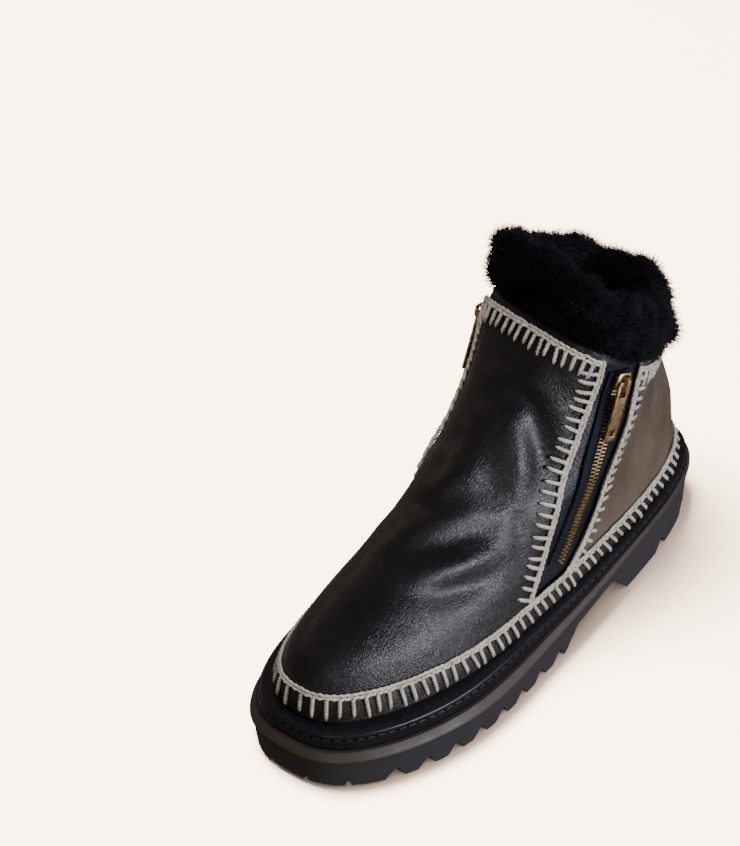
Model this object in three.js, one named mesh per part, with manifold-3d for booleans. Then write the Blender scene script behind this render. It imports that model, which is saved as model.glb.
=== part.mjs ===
// Left ankle boot with a zip on each side, a deep fur collar and crochet edging.
// Millimetres, +Z up. +X runs from heel to toe, +Y is the outer side of the foot, and the floor is z = 0.

import * as THREE from "three";
import { mergeVertices } from "three/addons/utils/BufferGeometryUtils.js";
import Module from "manifold-3d";

const wasm = await Module();
wasm.setup();

// Driving dimensions

const SOLE_LENGTH = 286;
const GAP = 0.3; // air between pieces that touch on the real boot
const UPPER_WALL = 2.2; // soft leather with its fleece backing
const PANEL = 1.2; // leather of vamp, counter and rand
const SIDES_AROUND = 56; // points in each ring round the boot
const STATIONS = [-1, -0.5, 0, 0.5, 1]; // heel to toe, where each plan gives its widths

// The widest plan of the sole, at its ledge: half widths, and how far the middle lies to the outer side
const SOLE_PLAN = {
  halves: [46.5, 45, 47.5, 54.3, 52.3],
  middles: [0.5, 0.4, 1.2, -1.3, -6.7],
  heelRound: 2.7,
  toeRound: 2.8,
};

// Heights along the sole. ledge: lower edge of the ledge. stack: scale of all that lies above it.
// lift: how far the tread's bottom rises off the floor.
const SOLE_HEIGHTS = [
  { x: -143, ledge: 26.7, stack: 0.5, lift: 0 },
  { x: -70, ledge: 26.5, stack: 0.47, lift: 0 },
  { x: -20, ledge: 22.4, stack: 0.66, lift: 0 },
  { x: 40, ledge: 18.2, stack: 1, lift: 0 },
  { x: 95, ledge: 18.8, stack: 1, lift: 0.5 },
  { x: 143, ledge: 20.3, stack: 1, lift: 3.7 },
];

// Sections of the sole's side at the toe: out is the distance from the ledge's edge, up the height over it
const OUTSOLE_WALL = { foot: { out: -3, up: 0 }, neck: { out: -1.2, up: -1.4 } };
const OUTSOLE_SIDE = [
  { out: 0, up: 0 },
  { out: -0.4, up: 1.4 },
  { out: -2.4, up: 4.4 },
];
const MIDSOLE_SIDE = [
  { out: -4.6, up: 4.4 },
  { out: -4, up: 5.4 },
  { out: -4, up: 8.8 },
  { out: -4.8, up: 10 },
];
const WELT_SIDE = [
  { out: -5.2, up: 10 },
  { out: -4.3, up: 11.2 },
  { out: -4.8, up: 12.8 },
  { out: -6.4, up: 13.6 },
];
const MIDSOLE_TOP = 10;
const WELT_TOP = 13.6;
const FEATHER_INSET = { fixed: 1.5, scaled: 10 }; // from the ledge's edge in to the upper
const WELT_LAP = 4; // how far the welt reaches in under the upper
const FOOTBED_GAP = 1.5;
const FOOTBED_RISE = 2.2; // footbed over the welt

// Tread: grooves across the forefoot and heel, notches at the toe, the arch and a channel down the middle
const FOREFOOT_GROOVES = { first: 0, pitch: 15.8, count: 8 };
const HEEL_GROOVES = [-94, -123];
const GROOVE = { toeSide: 5, heelSide: 4.5, depth: 6.2, floor: 0.8 };
const ARCH_SIDE = [
  { x: -5.5, z: 0 },
  { x: -15, z: 12.5 },
  { x: -46, z: 17.5 },
  { x: -61, z: 0 },
];
const TOE_NOTCHES = [
  { x: 133, y: 26, turn: 50 },
  { x: 143, y: 5, turn: 8 },
  { x: 142, y: -16, turn: -12 },
  { x: 132, y: -36, turn: -50 },
];
const TOE_NOTCH = { length: 16, halfWidth: 3, depth: 7 };
const CHANNEL = { from: 4, to: 112, halfWidth: 3, depth: 4.5, turn: -2 };

// The outer face of the upper, as rings from the feather line to the collar. A ring runs from a point on
// the back of the heel to a point on the front ridge. v places it, dip lowers its middle, turn is its twist
// in degrees, halves and middles are as in SOLE_PLAN, and heelRound and toeRound say how square its ends are.
const UPPER_RINGS = [
  { name: "feather", v: 0, back: [-136.5, 0], front: [131.5, 0], dip: 0, turn: 0,
    halves: [40.3, 38.6, 38.8, 42.8, 40.8], middles: [0.5, 0.4, 1.2, -1.3, -6.5], heelRound: 2.6, toeRound: 2.6 },
  { name: "rand top", v: 0.13, back: [-133.5, 42], front: [128.5, 48.5], dip: 3, turn: 0,
    halves: [38, 36.2, 36.4, 40, 37.5], middles: [0.5, 0.4, 1, -1.3, -6], heelRound: 2.5, toeRound: 2.5 },
  { name: "toe", v: 0.25, back: [-132, 57], front: [121, 61], dip: 2.5, turn: 0,
    halves: [37, 35.2, 36.4, 36, 34], middles: [0.5, 0.4, 0, -1.4, -5], heelRound: 2.5, toeRound: 2.4 },
  { name: "toe cap", v: 0.38, back: [-129.5, 73], front: [101, 71.5], dip: 1, turn: 0,
    halves: [36.5, 34.8, 37, 30.5, 30], middles: [0.4, 0.4, -0.5, -1.2, -3.6], heelRound: 2.5, toeRound: 2.4 },
  { name: "joint", v: 0.52, back: [-126, 86], front: [70, 84], dip: 0, turn: -1,
    halves: [35.2, 34.2, 39, 29.5, 26.5], middles: [0.3, 0.4, -0.8, -0.8, -2], heelRound: 2.5, toeRound: 2.2 },
  { name: "instep", v: 0.66, back: [-122.5, 96], front: [36, 100], dip: 0, turn: -2,
    halves: [33, 33.6, 40.5, 31, 26], middles: [0.3, 0.4, -1, -0.8, -1], heelRound: 2.5, toeRound: 1.95 },
  { name: "ankle", v: 0.8, back: [-119.5, 103.5], front: [2, 123], dip: 0, turn: -4,
    halves: [30.5, 33.2, 41.5, 34.5, 26], middles: [0.6, 0.5, -1.2, -1, -0.6], heelRound: 2.35, toeRound: 2.2 },
  { name: "shaft", v: 0.91, back: [-118, 108.5], front: [-22, 145], dip: 2, turn: -5,
    halves: [28.5, 32.5, 40, 37.5, 36], middles: [0.8, 0.6, -1, -1, -0.8], heelRound: 2.2, toeRound: 2.6 },
  { name: "collar", v: 1, back: [-117, 112.5], front: [-40, 163], dip: 4, turn: -6,
    halves: [28, 32.5, 37.2, 38.6, 38.4], middles: [0.8, 0.6, 0.2, -0.3, -0.8], heelRound: 2.05, toeRound: 4 },
];
const RAND_TOP = 0.13;
const RAND_SEAM = 0.004; // half the seam between rand and panels, in v
const RAND_ROWS = [0, RAND_TOP - RAND_SEAM];
const PANEL_ROWS = [RAND_TOP + RAND_SEAM, 0.2, 0.3, 0.41, 0.53, 0.66, 0.79, 0.9, 1];

// Edges of the panels and the line of the zip in side view, from the rand up to the collar
const VAMP_EDGE = [
  { x: 19, z: 36 },
  { x: 15, z: 44 },
  { x: 4, z: 61 },
  { x: -8.5, z: 84 },
  { x: -27, z: 112 },
  { x: -37.5, z: 130 },
  { x: -45, z: 154 },
  { x: -49, z: 172 },
];
const COUNTER_EDGE = [
  { x: 0, z: 31 },
  { x: -13, z: 41 },
  { x: -27, z: 50.5 },
  { x: -37.5, z: 62.5 },
  { x: -45, z: 80 },
  { x: -52, z: 100 },
  { x: -60.5, z: 120 },
  { x: -68.5, z: 136 },
  { x: -75, z: 150 },
];
const ZIP_LINE = [
  { x: -6, z: 49 },
  { x: -17, z: 62.5 },
  { x: -27.5, z: 84 },
  { x: -40, z: 108 },
  { x: -49.5, z: 126 },
  { x: -56, z: 145 },
];

// Strips on the upper. Each section is given by how far across the strip and how far out it lies.
const SEAM_BASE = PANEL + 2 * GAP + 0.2;
const EDGING_SECTION = [
  { across: -1.6, out: SEAM_BASE },
  { across: 1.6, out: SEAM_BASE },
  { across: 1, out: SEAM_BASE + 1.3 },
  { across: -1, out: SEAM_BASE + 1.3 },
];
const TAPE_SECTION = [
  { across: -7, out: 0.5 },
  { across: 7, out: 0.5 },
  { across: 6.8, out: 1.2 },
  { across: -6.8, out: 1.2 },
];
const CHAIN_SECTION = [
  { across: -3, out: 1.9 },
  { across: 3, out: 1.9 },
  { across: 2.7, out: 2.6 },
  { across: -2.7, out: 2.6 },
];
const EDGING_V = 0.982; // edging along the top of the vamp
const EDGE_SPANS = { vamp: [47.5, 152], counter: [46.5, 130], tape: [50, 141], chain: [52, 139.5] }; // in z
const ZIP_STEPS = 16;
const SLIDER_AT = { x: -53.7, z: 137 };

// Slider and pull tab, in the slider's own frame: x down the zip, y across it, z out from the boot
const SLIDER = { foot: 2.9, top: 4.6, length: 9, shoulder: 4.4, tail: 3.4 };
const BRIDGE = { halfWidth: 1.2, from: -3.8, to: 3.9, top: 8.4, openFrom: -2.1, openTo: 2.5, openTop: 7 };
const HINGE = { along: 0.2, out: 5.8, restLean: 0.055 }; // the lean keeps the tab off the bulging teeth
const PULL = { thickness: 1.3, ring: 3.8, rail: 1.5, window: 7.5, neck: 10, tip: 30, halfWidth: 3.3 };
const PULL_SLOT = { from: 24.5, to: 27.5, halfWidth: 1.5 };

// Fur collar: section round the collar's edge, as distance out from the edge and height over it
const FUR_SECTION = [
  { out: 1.8, up: 1.6 },
  { out: 7.5, up: 7 },
  { out: 9.5, up: 16 },
  { out: 6.5, up: 28 },
  { out: -2, up: 33 },
  { out: -11, up: 29 },
  { out: -14, up: 18 },
  { out: -14, up: 0 },
  { out: -7.8, up: -15 },
  { out: -3.6, up: 1 },
];
const FUR_FRONT = { flatter: 0.9, lower: 0.14, inward: 5, smaller: 0.3 };
const FUR_HIGH_SIDE = { taller: 0.22, toward: -125 }; // over the inner side of the heel
const LOCK_ROWS = [
  { out: 1, up: 13, lean: -12, size: 11, count: 13 },
  { out: 0, up: 19.5, lean: 28, size: 12, count: 12 },
  { out: -3, up: 23, lean: 75, size: 12, count: 10 },
  { out: -7.5, up: 17, lean: 125, size: 11, count: 8 },
];
const LOCK_LENGTH = 1.1; // of its size
const LOCK_SEED = 7;
const FUR_DETAIL = 1.6; // bumps smaller than this are flattened

// Numbers along a table

function tableSlopes(places, values) {
  const steps = places.slice(1).map((place, i) => place - places[i]);
  const rises = steps.map((step, i) => (values[i + 1] - values[i]) / step);
  const slopes = values.map((value, i) => {
    if (i === 0) return rises[0];
    if (i === values.length - 1) return rises[i - 1];
    return (rises[i - 1] * steps[i] + rises[i] * steps[i - 1]) / (steps[i - 1] + steps[i]);
  });
  return slopes;
}

// Smooth curve through a table's values, level beyond its ends
function along(places, values, at) {
  const last = places.length - 1;
  const x = Math.min(Math.max(at, places[0]), places[last]);
  let i = 0;
  while (i < last - 1 && x > places[i + 1]) i += 1;
  const slopes = tableSlopes(places, values);
  const step = places[i + 1] - places[i];
  const t = (x - places[i]) / step;
  const from = (1 + 2 * t) * (1 - t) ** 2 * values[i] + t * (1 - t) ** 2 * step * slopes[i];
  const to = t * t * (3 - 2 * t) * values[i + 1] + t * t * (t - 1) * step * slopes[i + 1];
  return from + to;
}

const heightPlaces = SOLE_HEIGHTS.map((row) => row.x);
const ledgeAt = (x) => along(heightPlaces, SOLE_HEIGHTS.map((row) => row.ledge), x);
const stackAt = (x) => along(heightPlaces, SOLE_HEIGHTS.map((row) => row.stack), x);
const liftAt = (x) => Math.max(along(heightPlaces, SOLE_HEIGHTS.map((row) => row.lift), x), 0);
const insetAt = (x) => FEATHER_INSET.fixed + FEATHER_INSET.scaled * stackAt(x);
const weltTopAt = (x) => ledgeAt(x) + WELT_TOP * stackAt(x) + 2 * GAP;

// Closed bodies from rings of points

function solid(positions, faces) {
  const geometry = new THREE.BufferGeometry();
  geometry.setAttribute("position", new THREE.BufferAttribute(new Float32Array(positions.flat()), 3));
  geometry.setIndex(faces.flat());
  return geometry;
}

function toManifold(geometry) {
  const bare = geometry.clone();
  bare.deleteAttribute("normal");
  bare.deleteAttribute("uv");
  const merged = mergeVertices(bare, 1e-4);
  const vertProperties = new Float32Array(merged.attributes.position.array);
  const triVerts = new Uint32Array(merged.index.array);
  return new wasm.Manifold(new wasm.Mesh({ numProp: 3, vertProperties, triVerts }));
}

function fromManifold(body) {
  const mesh = body.getMesh();
  const geometry = new THREE.BufferGeometry();
  geometry.setAttribute("position", new THREE.BufferAttribute(new Float32Array(mesh.vertProperties), 3));
  geometry.setIndex(new THREE.BufferAttribute(new Uint32Array(mesh.triVerts), 1));
  return geometry;
}

// Quads between consecutive rings, whose points run anticlockwise seen from outside the last ring.
// From the ring flipFrom on, the quads are split along their other diagonal.
function bandFaces(ringCount, pointCount, closed, flipFrom = Infinity) {
  const faces = [];
  const bands = closed ? ringCount : ringCount - 1;
  for (let r = 0; r < bands; r += 1) {
    const low = r * pointCount;
    const high = ((r + 1) % ringCount) * pointCount;
    for (let i = 0; i < pointCount; i += 1) {
      const j = (i + 1) % pointCount;
      if (r < flipFrom) faces.push([low + i, low + j, high + j], [low + i, high + j, high + i]);
      else faces.push([low + i, low + j, high + i], [low + j, high + j, high + i]);
    }
  }
  return faces;
}

// A cap of strips from side to side, for a ring that starts at its front point and is even in count
function capFaces(first, pointCount, up) {
  const faces = [];
  for (let i = 0; i < pointCount / 2; i += 1) {
    const a = first + i;
    const b = first + i + 1;
    const c = first + ((pointCount - i) % pointCount);
    const d = first + pointCount - i - 1;
    if (i > 0) faces.push(up ? [a, b, c] : [c, b, a]);
    if (i < pointCount / 2 - 1) faces.push(up ? [c, b, d] : [d, b, c]);
  }
  return faces;
}

function loft(rings) {
  const count = rings[0].length;
  const faces = bandFaces(rings.length, count, false);
  faces.push(...capFaces(0, count, false));
  faces.push(...capFaces((rings.length - 1) * count, count, true));
  return solid(rings.flat(), faces);
}

function closedLoft(rings, flipFrom) {
  return solid(rings.flat(), bandFaces(rings.length, rings[0].length, true, flipFrom));
}

// A side view outline, pushed from one side of the boot to the other
function sidePrism(outline, halfDepth) {
  const shape = new THREE.Shape(outline.map((point) => new THREE.Vector2(point.x, point.z)));
  const prism = new THREE.ExtrudeGeometry(shape, { depth: 2 * halfDepth, bevelEnabled: false });
  prism.rotateX(Math.PI / 2);
  prism.translate(0, halfDepth, 0);
  return prism;
}

// Plans and rings

function planPoint(plan, backX, frontX, angle) {
  const round = Math.cos(angle) > 0 ? plan.toeRound : plan.heelRound;
  const c = Math.sign(Math.cos(angle)) * Math.abs(Math.cos(angle)) ** (2 / round);
  const s = Math.sign(Math.sin(angle)) * Math.abs(Math.sin(angle)) ** (2 / round);
  const x = (backX + frontX) / 2 + ((frontX - backX) / 2) * c;
  const y = along(STATIONS, plan.middles, c) + along(STATIONS, plan.halves, c) * s;
  return [x, y];
}

const angles = Array.from({ length: SIDES_AROUND }, (unused, i) => (2 * Math.PI * i) / SIDES_AROUND);
const ledgeRing = angles.map((angle) => planPoint(SOLE_PLAN, -SOLE_LENGTH / 2, SOLE_LENGTH / 2, angle));

// The sole's plan moved outwards by outAt(x), at the height heightAt(x)
function soleRing(outAt, heightAt) {
  return ledgeRing.map(([x, y], i) => {
    const [beforeX, beforeY] = ledgeRing[(i + SIDES_AROUND - 1) % SIDES_AROUND];
    const [afterX, afterY] = ledgeRing[(i + 1) % SIDES_AROUND];
    const length = Math.hypot(afterX - beforeX, afterY - beforeY);
    const out = outAt(x);
    const ringX = x + ((afterY - beforeY) / length) * out;
    const ringY = y - ((afterX - beforeX) / length) * out;
    return [ringX, ringY, heightAt(ringX)];
  });
}

function stackRing(point, air) {
  return soleRing((x) => point.out * stackAt(x), (x) => ledgeAt(x) + point.up * stackAt(x) + air);
}

// Sole pieces

function grooveCutter(x) {
  const base = -1;
  return sidePrism([
    { x: x + GROOVE.toeSide, z: base },
    { x: x + GROOVE.toeSide, z: liftAt(x + GROOVE.toeSide) },
    { x: x + GROOVE.floor, z: liftAt(x) + GROOVE.depth },
    { x: x - GROOVE.floor, z: liftAt(x) + GROOVE.depth },
    { x: x - GROOVE.heelSide, z: liftAt(x - GROOVE.heelSide) },
    { x: x - GROOVE.heelSide, z: base },
  ].reverse(), SOLE_LENGTH);
}

function toeNotchCutter(notch) {
  const shape = new THREE.Shape([
    new THREE.Vector2(-TOE_NOTCH.halfWidth, -1),
    new THREE.Vector2(TOE_NOTCH.halfWidth, -1),
    new THREE.Vector2(0, TOE_NOTCH.depth),
  ]);
  const cutter = new THREE.ExtrudeGeometry(shape, { depth: TOE_NOTCH.length, bevelEnabled: false });
  cutter.translate(0, 0, -TOE_NOTCH.length / 2);
  cutter.rotateX(Math.PI / 2);
  cutter.rotateZ(Math.PI / 2 + THREE.MathUtils.degToRad(notch.turn));
  cutter.translate(notch.x, notch.y, 0);
  return cutter;
}

function channelCutter() {
  const length = CHANNEL.to - CHANNEL.from;
  const cutter = new THREE.BoxGeometry(length, 2 * CHANNEL.halfWidth, 2 * CHANNEL.depth);
  cutter.translate(length / 2, 0, 0);
  cutter.rotateZ(THREE.MathUtils.degToRad(CHANNEL.turn));
  cutter.translate(CHANNEL.from, SOLE_PLAN.middles[2], 0);
  return cutter;
}

function makeOutsole() {
  const foot = soleRing(() => OUTSOLE_WALL.foot.out, liftAt);
  const neck = soleRing(() => OUTSOLE_WALL.neck.out, (x) => ledgeAt(x) + OUTSOLE_WALL.neck.up);
  const sides = OUTSOLE_SIDE.map((point) => stackRing(point, 0));
  let body = toManifold(loft([foot, neck, ...sides]));
  const archFloor = [{ x: ARCH_SIDE[3].x, z: -1 }, { x: ARCH_SIDE[0].x, z: -1 }];
  const cutters = [sidePrism([...archFloor, ...ARCH_SIDE], SOLE_LENGTH), channelCutter()];
  for (let i = 0; i < FOREFOOT_GROOVES.count; i += 1) {
    cutters.push(grooveCutter(FOREFOOT_GROOVES.first + i * FOREFOOT_GROOVES.pitch));
  }
  cutters.push(...HEEL_GROOVES.map(grooveCutter));
  cutters.push(...TOE_NOTCHES.map(toeNotchCutter));
  for (const cutter of cutters) body = body.subtract(toManifold(cutter));
  return fromManifold(body);
}

function makeMidsole() {
  return loft(MIDSOLE_SIDE.map((point) => stackRing(point, GAP)));
}

function makeWelt() {
  const outer = WELT_SIDE.map((point) => stackRing(point, 2 * GAP));
  const lap = (x) => -insetAt(x) - WELT_LAP;
  const innerTop = soleRing(lap, weltTopAt);
  const innerFoot = soleRing(lap, (x) => ledgeAt(x) + MIDSOLE_TOP * stackAt(x) + 2 * GAP);
  return closedLoft([...outer, innerTop, innerFoot]);
}

function makeInsole() {
  const edge = (x) => -insetAt(x) - WELT_LAP - FOOTBED_GAP;
  const foot = soleRing(edge, (x) => ledgeAt(x) + MIDSOLE_TOP * stackAt(x) + 2 * GAP);
  const top = soleRing(edge, (x) => weltTopAt(x) + FOOTBED_RISE);
  return loft([foot, top]);
}

// Upper surface

const ringPlaces = UPPER_RINGS.map((ring) => ring.v);

function ringRow(ring, c) {
  const x = (ring.back[0] + ring.front[0]) / 2 + ((ring.front[0] - ring.back[0]) / 2) * c;
  const level = (ring.back[1] + ring.front[1]) / 2 + ((ring.front[1] - ring.back[1]) / 2) * c;
  const z = ring.name === "feather" ? weltTopAt(x) + GAP : level - ring.dip * (1 - c * c);
  return { x, z, half: along(STATIONS, ring.halves, c), middle: along(STATIONS, ring.middles, c) };
}

function roundAt(v, c) {
  return along(ringPlaces, UPPER_RINGS.map((ring) => (c > 0 ? ring.toeRound : ring.heelRound)), v);
}

// A point of the upper's outer face at height v, place c from heel to toe, and across from -1 to 1
function upperPoint(v, c, across) {
  const rows = UPPER_RINGS.map((ring) => ringRow(ring, c));
  const at = (key) => along(ringPlaces, rows.map((row) => row[key]), v);
  const reach = at("half") * across;
  const turn = THREE.MathUtils.degToRad(along(ringPlaces, UPPER_RINGS.map((ring) => ring.turn), v));
  return new THREE.Vector3(at("x") - Math.sin(turn) * reach, at("middle") + reach, at("z"));
}

function upperAtAngle(v, angle) {
  const round = roundAt(v, Math.cos(angle));
  const c = Math.sign(Math.cos(angle)) * Math.abs(Math.cos(angle)) ** (2 / round);
  const s = Math.sign(Math.sin(angle)) * Math.abs(Math.sin(angle)) ** (2 / round);
  return upperPoint(v, c, s);
}

const NUDGE = 1e-3;

function upperNormal(v, angle) {
  const low = upperAtAngle(Math.max(v - NUDGE, 0), angle);
  const high = upperAtAngle(Math.min(v + NUDGE, 1), angle);
  const before = upperAtAngle(v, angle - NUDGE * 10);
  const after = upperAtAngle(v, angle + NUDGE * 10);
  const normal = after.sub(before).cross(high.sub(low));
  if (v === 0) normal.setZ(0); // the feather edge stands flat on the welt
  return normal.normalize();
}

function upperRing(v, out) {
  return angles.map((angle) => {
    const point = upperAtAngle(v, angle).addScaledVector(upperNormal(v, angle), out);
    return point.toArray();
  });
}

// A wall that follows the upper between two distances from its outer face, over some rows
function upperShell(rows, inner, outer) {
  const rings = rows.map((v) => upperRing(v, outer));
  rings.push(...[...rows].reverse().map((v) => upperRing(v, inner)));
  return closedLoft(rings, rows.length); // both faces then bend along the same lines
}

function makeUpper() {
  return upperShell([...RAND_ROWS, ...PANEL_ROWS], -UPPER_WALL, 0);
}

function makeRand() {
  return upperShell(RAND_ROWS, GAP, GAP + PANEL);
}

// Smooth side view edge, as a list of points
function sideCurve(points, count) {
  const curve = new THREE.CatmullRomCurve3(points.map((point) => new THREE.Vector3(point.x, 0, point.z)));
  return curve.getPoints(count).map((point) => ({ x: point.x, z: point.z }));
}

const EDGE_STEPS = 24;
const BEYOND = 40; // how far a cutting outline runs past the boot

function makePanel(edge, farX) {
  const wall = toManifold(upperShell(PANEL_ROWS, GAP, GAP + PANEL));
  const line = sideCurve(edge, EDGE_STEPS);
  const top = line[line.length - 1];
  const outline = [...line, { x: farX, z: top.z + BEYOND }, { x: farX, z: line[0].z - BEYOND }];
  if (farX > 0) outline.reverse();
  outline.push({ x: line[0].x, z: line[0].z - BEYOND });
  return fromManifold(wall.intersect(toManifold(sidePrism(outline, SOLE_LENGTH))));
}

// The place on the upper, as v and angle, that shows at a point of the side view, on side 1 or -1
function findOnUpper(side, target) {
  const miss = (v, angle) => {
    const point = upperAtAngle(v, angle);
    return [point.x - target.x, point.z - target.z];
  };
  let best = { v: 0, angle: 0, error: Infinity };
  for (let v = 0; v <= 1; v += 0.05) {
    for (let turn = 0.1; turn < Math.PI; turn += 0.1) {
      const error = Math.hypot(...miss(v, side * turn));
      if (error < best.error) best = { v, angle: side * turn, error };
    }
  }
  for (let step = 0; step < 8; step += 1) {
    const [dx, dz] = miss(best.v, best.angle);
    const [vx, vz] = miss(best.v + NUDGE, best.angle).map((value, i) => (value - [dx, dz][i]) / NUDGE);
    const [ax, az] = miss(best.v, best.angle + NUDGE).map((value, i) => (value - [dx, dz][i]) / NUDGE);
    const area = vx * az - vz * ax;
    best.v = Math.min(Math.max(best.v - (dx * az - dz * ax) / area, 0.01), 1 - NUDGE);
    best.angle -= (vx * dz - vz * dx) / area;
  }
  return best;
}

// Strips laid on the upper

function fanCap(first, count, up) {
  const faces = [];
  for (let i = 1; i < count - 1; i += 1) {
    faces.push(up ? [first, first + i, first + i + 1] : [first, first + i + 1, first + i]);
  }
  return faces;
}

// path is a list of places on the upper
function strip(path, section, closed) {
  const points = path.map((place) => upperAtAngle(place.v, place.angle));
  const last = points.length - 1;
  const rings = points.map((point, i) => {
    const before = points[closed ? (i + last) % (last + 1) : Math.max(i - 1, 0)];
    const after = points[closed ? (i + 1) % (last + 1) : Math.min(i + 1, last)];
    const normal = upperNormal(path[i].v, path[i].angle);
    const across = normal.clone().cross(after.clone().sub(before)).normalize();
    return section.map((corner) => point.clone().addScaledVector(across, corner.across)
      .addScaledVector(normal, corner.out).toArray());
  });
  if (closed) return closedLoft(rings);
  const faces = bandFaces(rings.length, section.length, false);
  faces.push(...fanCap(0, section.length, false));
  faces.push(...fanCap(last * section.length, section.length, true));
  return solid(rings.flat(), faces);
}

// Places up an edge between two heights
function pathUp(side, edge, [fromZ, toZ], count) {
  const curve = sideCurve(edge, EDGE_STEPS * 4);
  const path = [];
  for (let i = 0; i <= count; i += 1) {
    const z = fromZ + ((toZ - fromZ) * i) / count;
    path.push(findOnUpper(side, curve.find((point) => point.z >= z)));
  }
  return path;
}

function makeRandEdging() {
  return strip(angles.map((angle) => ({ v: RAND_TOP, angle })), EDGING_SECTION, true);
}

const TOP_STEPS = 12;

function makeVampEdging() {
  const outer = pathUp(1, VAMP_EDGE, EDGE_SPANS.vamp, 9);
  const inner = pathUp(-1, VAMP_EDGE, EDGE_SPANS.vamp, 9).reverse();
  const from = outer[outer.length - 1].angle;
  const to = inner[0].angle;
  const top = Array.from({ length: TOP_STEPS + 1 }, (unused, i) => {
    return { v: EDGING_V, angle: from + ((to - from) * i) / TOP_STEPS };
  });
  return strip([...outer, ...top, ...inner], EDGING_SECTION, false);
}

function makeCounterEdging(side) {
  const path = pathUp(side, COUNTER_EDGE, EDGE_SPANS.counter, 9);
  return strip(path, EDGING_SECTION, false);
}

function makeZipTape(side) {
  return strip(pathUp(side, ZIP_LINE, EDGE_SPANS.tape, ZIP_STEPS), TAPE_SECTION, false);
}

function makeZipChain(side) {
  return strip(pathUp(side, ZIP_LINE, EDGE_SPANS.chain, ZIP_STEPS), CHAIN_SECTION, false);
}

// Slider and pull tab

function plate(points, holes, thickness) {
  const shape = new THREE.Shape(points.map(([x, y]) => new THREE.Vector2(x, y)));
  shape.holes.push(...holes.map((hole) => new THREE.Path(hole.map(([x, y]) => new THREE.Vector2(x, y)))));
  return new THREE.ExtrudeGeometry(shape, { depth: thickness, bevelEnabled: false });
}

function makeSlider() {
  const half = SLIDER.length / 2;
  const body = plate([
    [-half, -SLIDER.tail], [-half / 2, -SLIDER.shoulder], [half / 2, -SLIDER.shoulder], [half, -SLIDER.tail],
    [half, SLIDER.tail], [half / 2, SLIDER.shoulder], [-half / 2, SLIDER.shoulder], [-half, SLIDER.tail],
  ], [], SLIDER.top - SLIDER.foot);
  body.translate(0, 0, SLIDER.foot);
  const sunk = SLIDER.top - 1;
  const bridge = sidePrism([
    { x: BRIDGE.from, z: sunk }, { x: BRIDGE.openFrom, z: sunk }, { x: BRIDGE.openFrom, z: BRIDGE.openTop },
    { x: BRIDGE.openTo, z: BRIDGE.openTop }, { x: BRIDGE.openTo, z: sunk }, { x: BRIDGE.to, z: sunk },
    { x: BRIDGE.to, z: BRIDGE.openTop }, { x: BRIDGE.openTo, z: BRIDGE.top },
    { x: BRIDGE.openFrom, z: BRIDGE.top }, { x: BRIDGE.from, z: BRIDGE.openTop },
  ], BRIDGE.halfWidth);
  return fromManifold(toManifold(body).add(toManifold(bridge)));
}

// The pull tab has its hinge line at its own origin
function makePull() {
  const back = -PULL.thickness / 2;
  const window = PULL.ring - PULL.rail;
  const geometry = plate([
    [back, -PULL.ring + 0.6], [1, -PULL.ring], [PULL.window, -PULL.ring], [PULL.neck, -PULL.halfWidth],
    [PULL.tip - 1, -PULL.halfWidth], [PULL.tip, -PULL.halfWidth + 1],
    [PULL.tip, PULL.halfWidth - 1], [PULL.tip - 1, PULL.halfWidth],
    [PULL.neck, PULL.halfWidth], [PULL.window, PULL.ring], [1, PULL.ring], [back, PULL.ring - 0.6],
  ], [
    [[-back, -window], [-back, window], [PULL.window, window], [PULL.window, -window]],
    [[PULL_SLOT.from, -PULL_SLOT.halfWidth], [PULL_SLOT.from, PULL_SLOT.halfWidth],
      [PULL_SLOT.to, PULL_SLOT.halfWidth], [PULL_SLOT.to, -PULL_SLOT.halfWidth]],
  ], PULL.thickness);
  geometry.translate(0, 0, back);
  return geometry;
}

// The slider's frame on one side: x down the zip, z out from the boot
function sliderFrame(side) {
  const place = findOnUpper(side, SLIDER_AT);
  const lower = sideCurve(ZIP_LINE, EDGE_STEPS).find((point) => point.z > SLIDER_AT.z - 22);
  const below = findOnUpper(side, lower);
  const origin = upperAtAngle(place.v, place.angle);
  const out = upperNormal(place.v, place.angle);
  const down = upperAtAngle(below.v, below.angle).sub(origin);
  down.addScaledVector(out, -down.dot(out)).normalize();
  const across = out.clone().cross(down);
  const frame = new THREE.Group();
  frame.position.copy(origin);
  frame.quaternion.setFromRotationMatrix(new THREE.Matrix4().makeBasis(down, across, out));
  return frame;
}

// Fur collar

function randomSource(seed) {
  let state = seed;
  return () => {
    state = (state * 16807) % 2147483647;
    return state / 2147483647;
  };
}

const collarMiddle = upperAtAngle(1, Math.PI).add(upperAtAngle(1, 0)).multiplyScalar(0.5);

// A point near the collar's edge, moved out from the middle of the collar and up. The fur bulges out
// over the heel and stands up straight over the vamp.
function collarPoint(angle, out, up) {
  const edge = upperAtAngle(1, angle);
  const ray = new THREE.Vector3(edge.x - collarMiddle.x, edge.y - collarMiddle.y, 0).normalize();
  const front = (1 + Math.cos(angle)) / 2;
  const turn = angle - THREE.MathUtils.degToRad(FUR_HIGH_SIDE.toward);
  const high = (1 + Math.cos(turn)) / 2;
  const inward = FUR_FRONT.inward * front * THREE.MathUtils.clamp(up / 10, 0, 1);
  const reach = (out > 0 ? out * (1 - FUR_FRONT.flatter * front) : out) - inward;
  const rise = up > 0 ? up * (1 - FUR_FRONT.lower * front + FUR_HIGH_SIDE.taller * high) : up;
  return { point: edge.addScaledVector(ray, reach).add(new THREE.Vector3(0, 0, rise)), ray };
}

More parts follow.
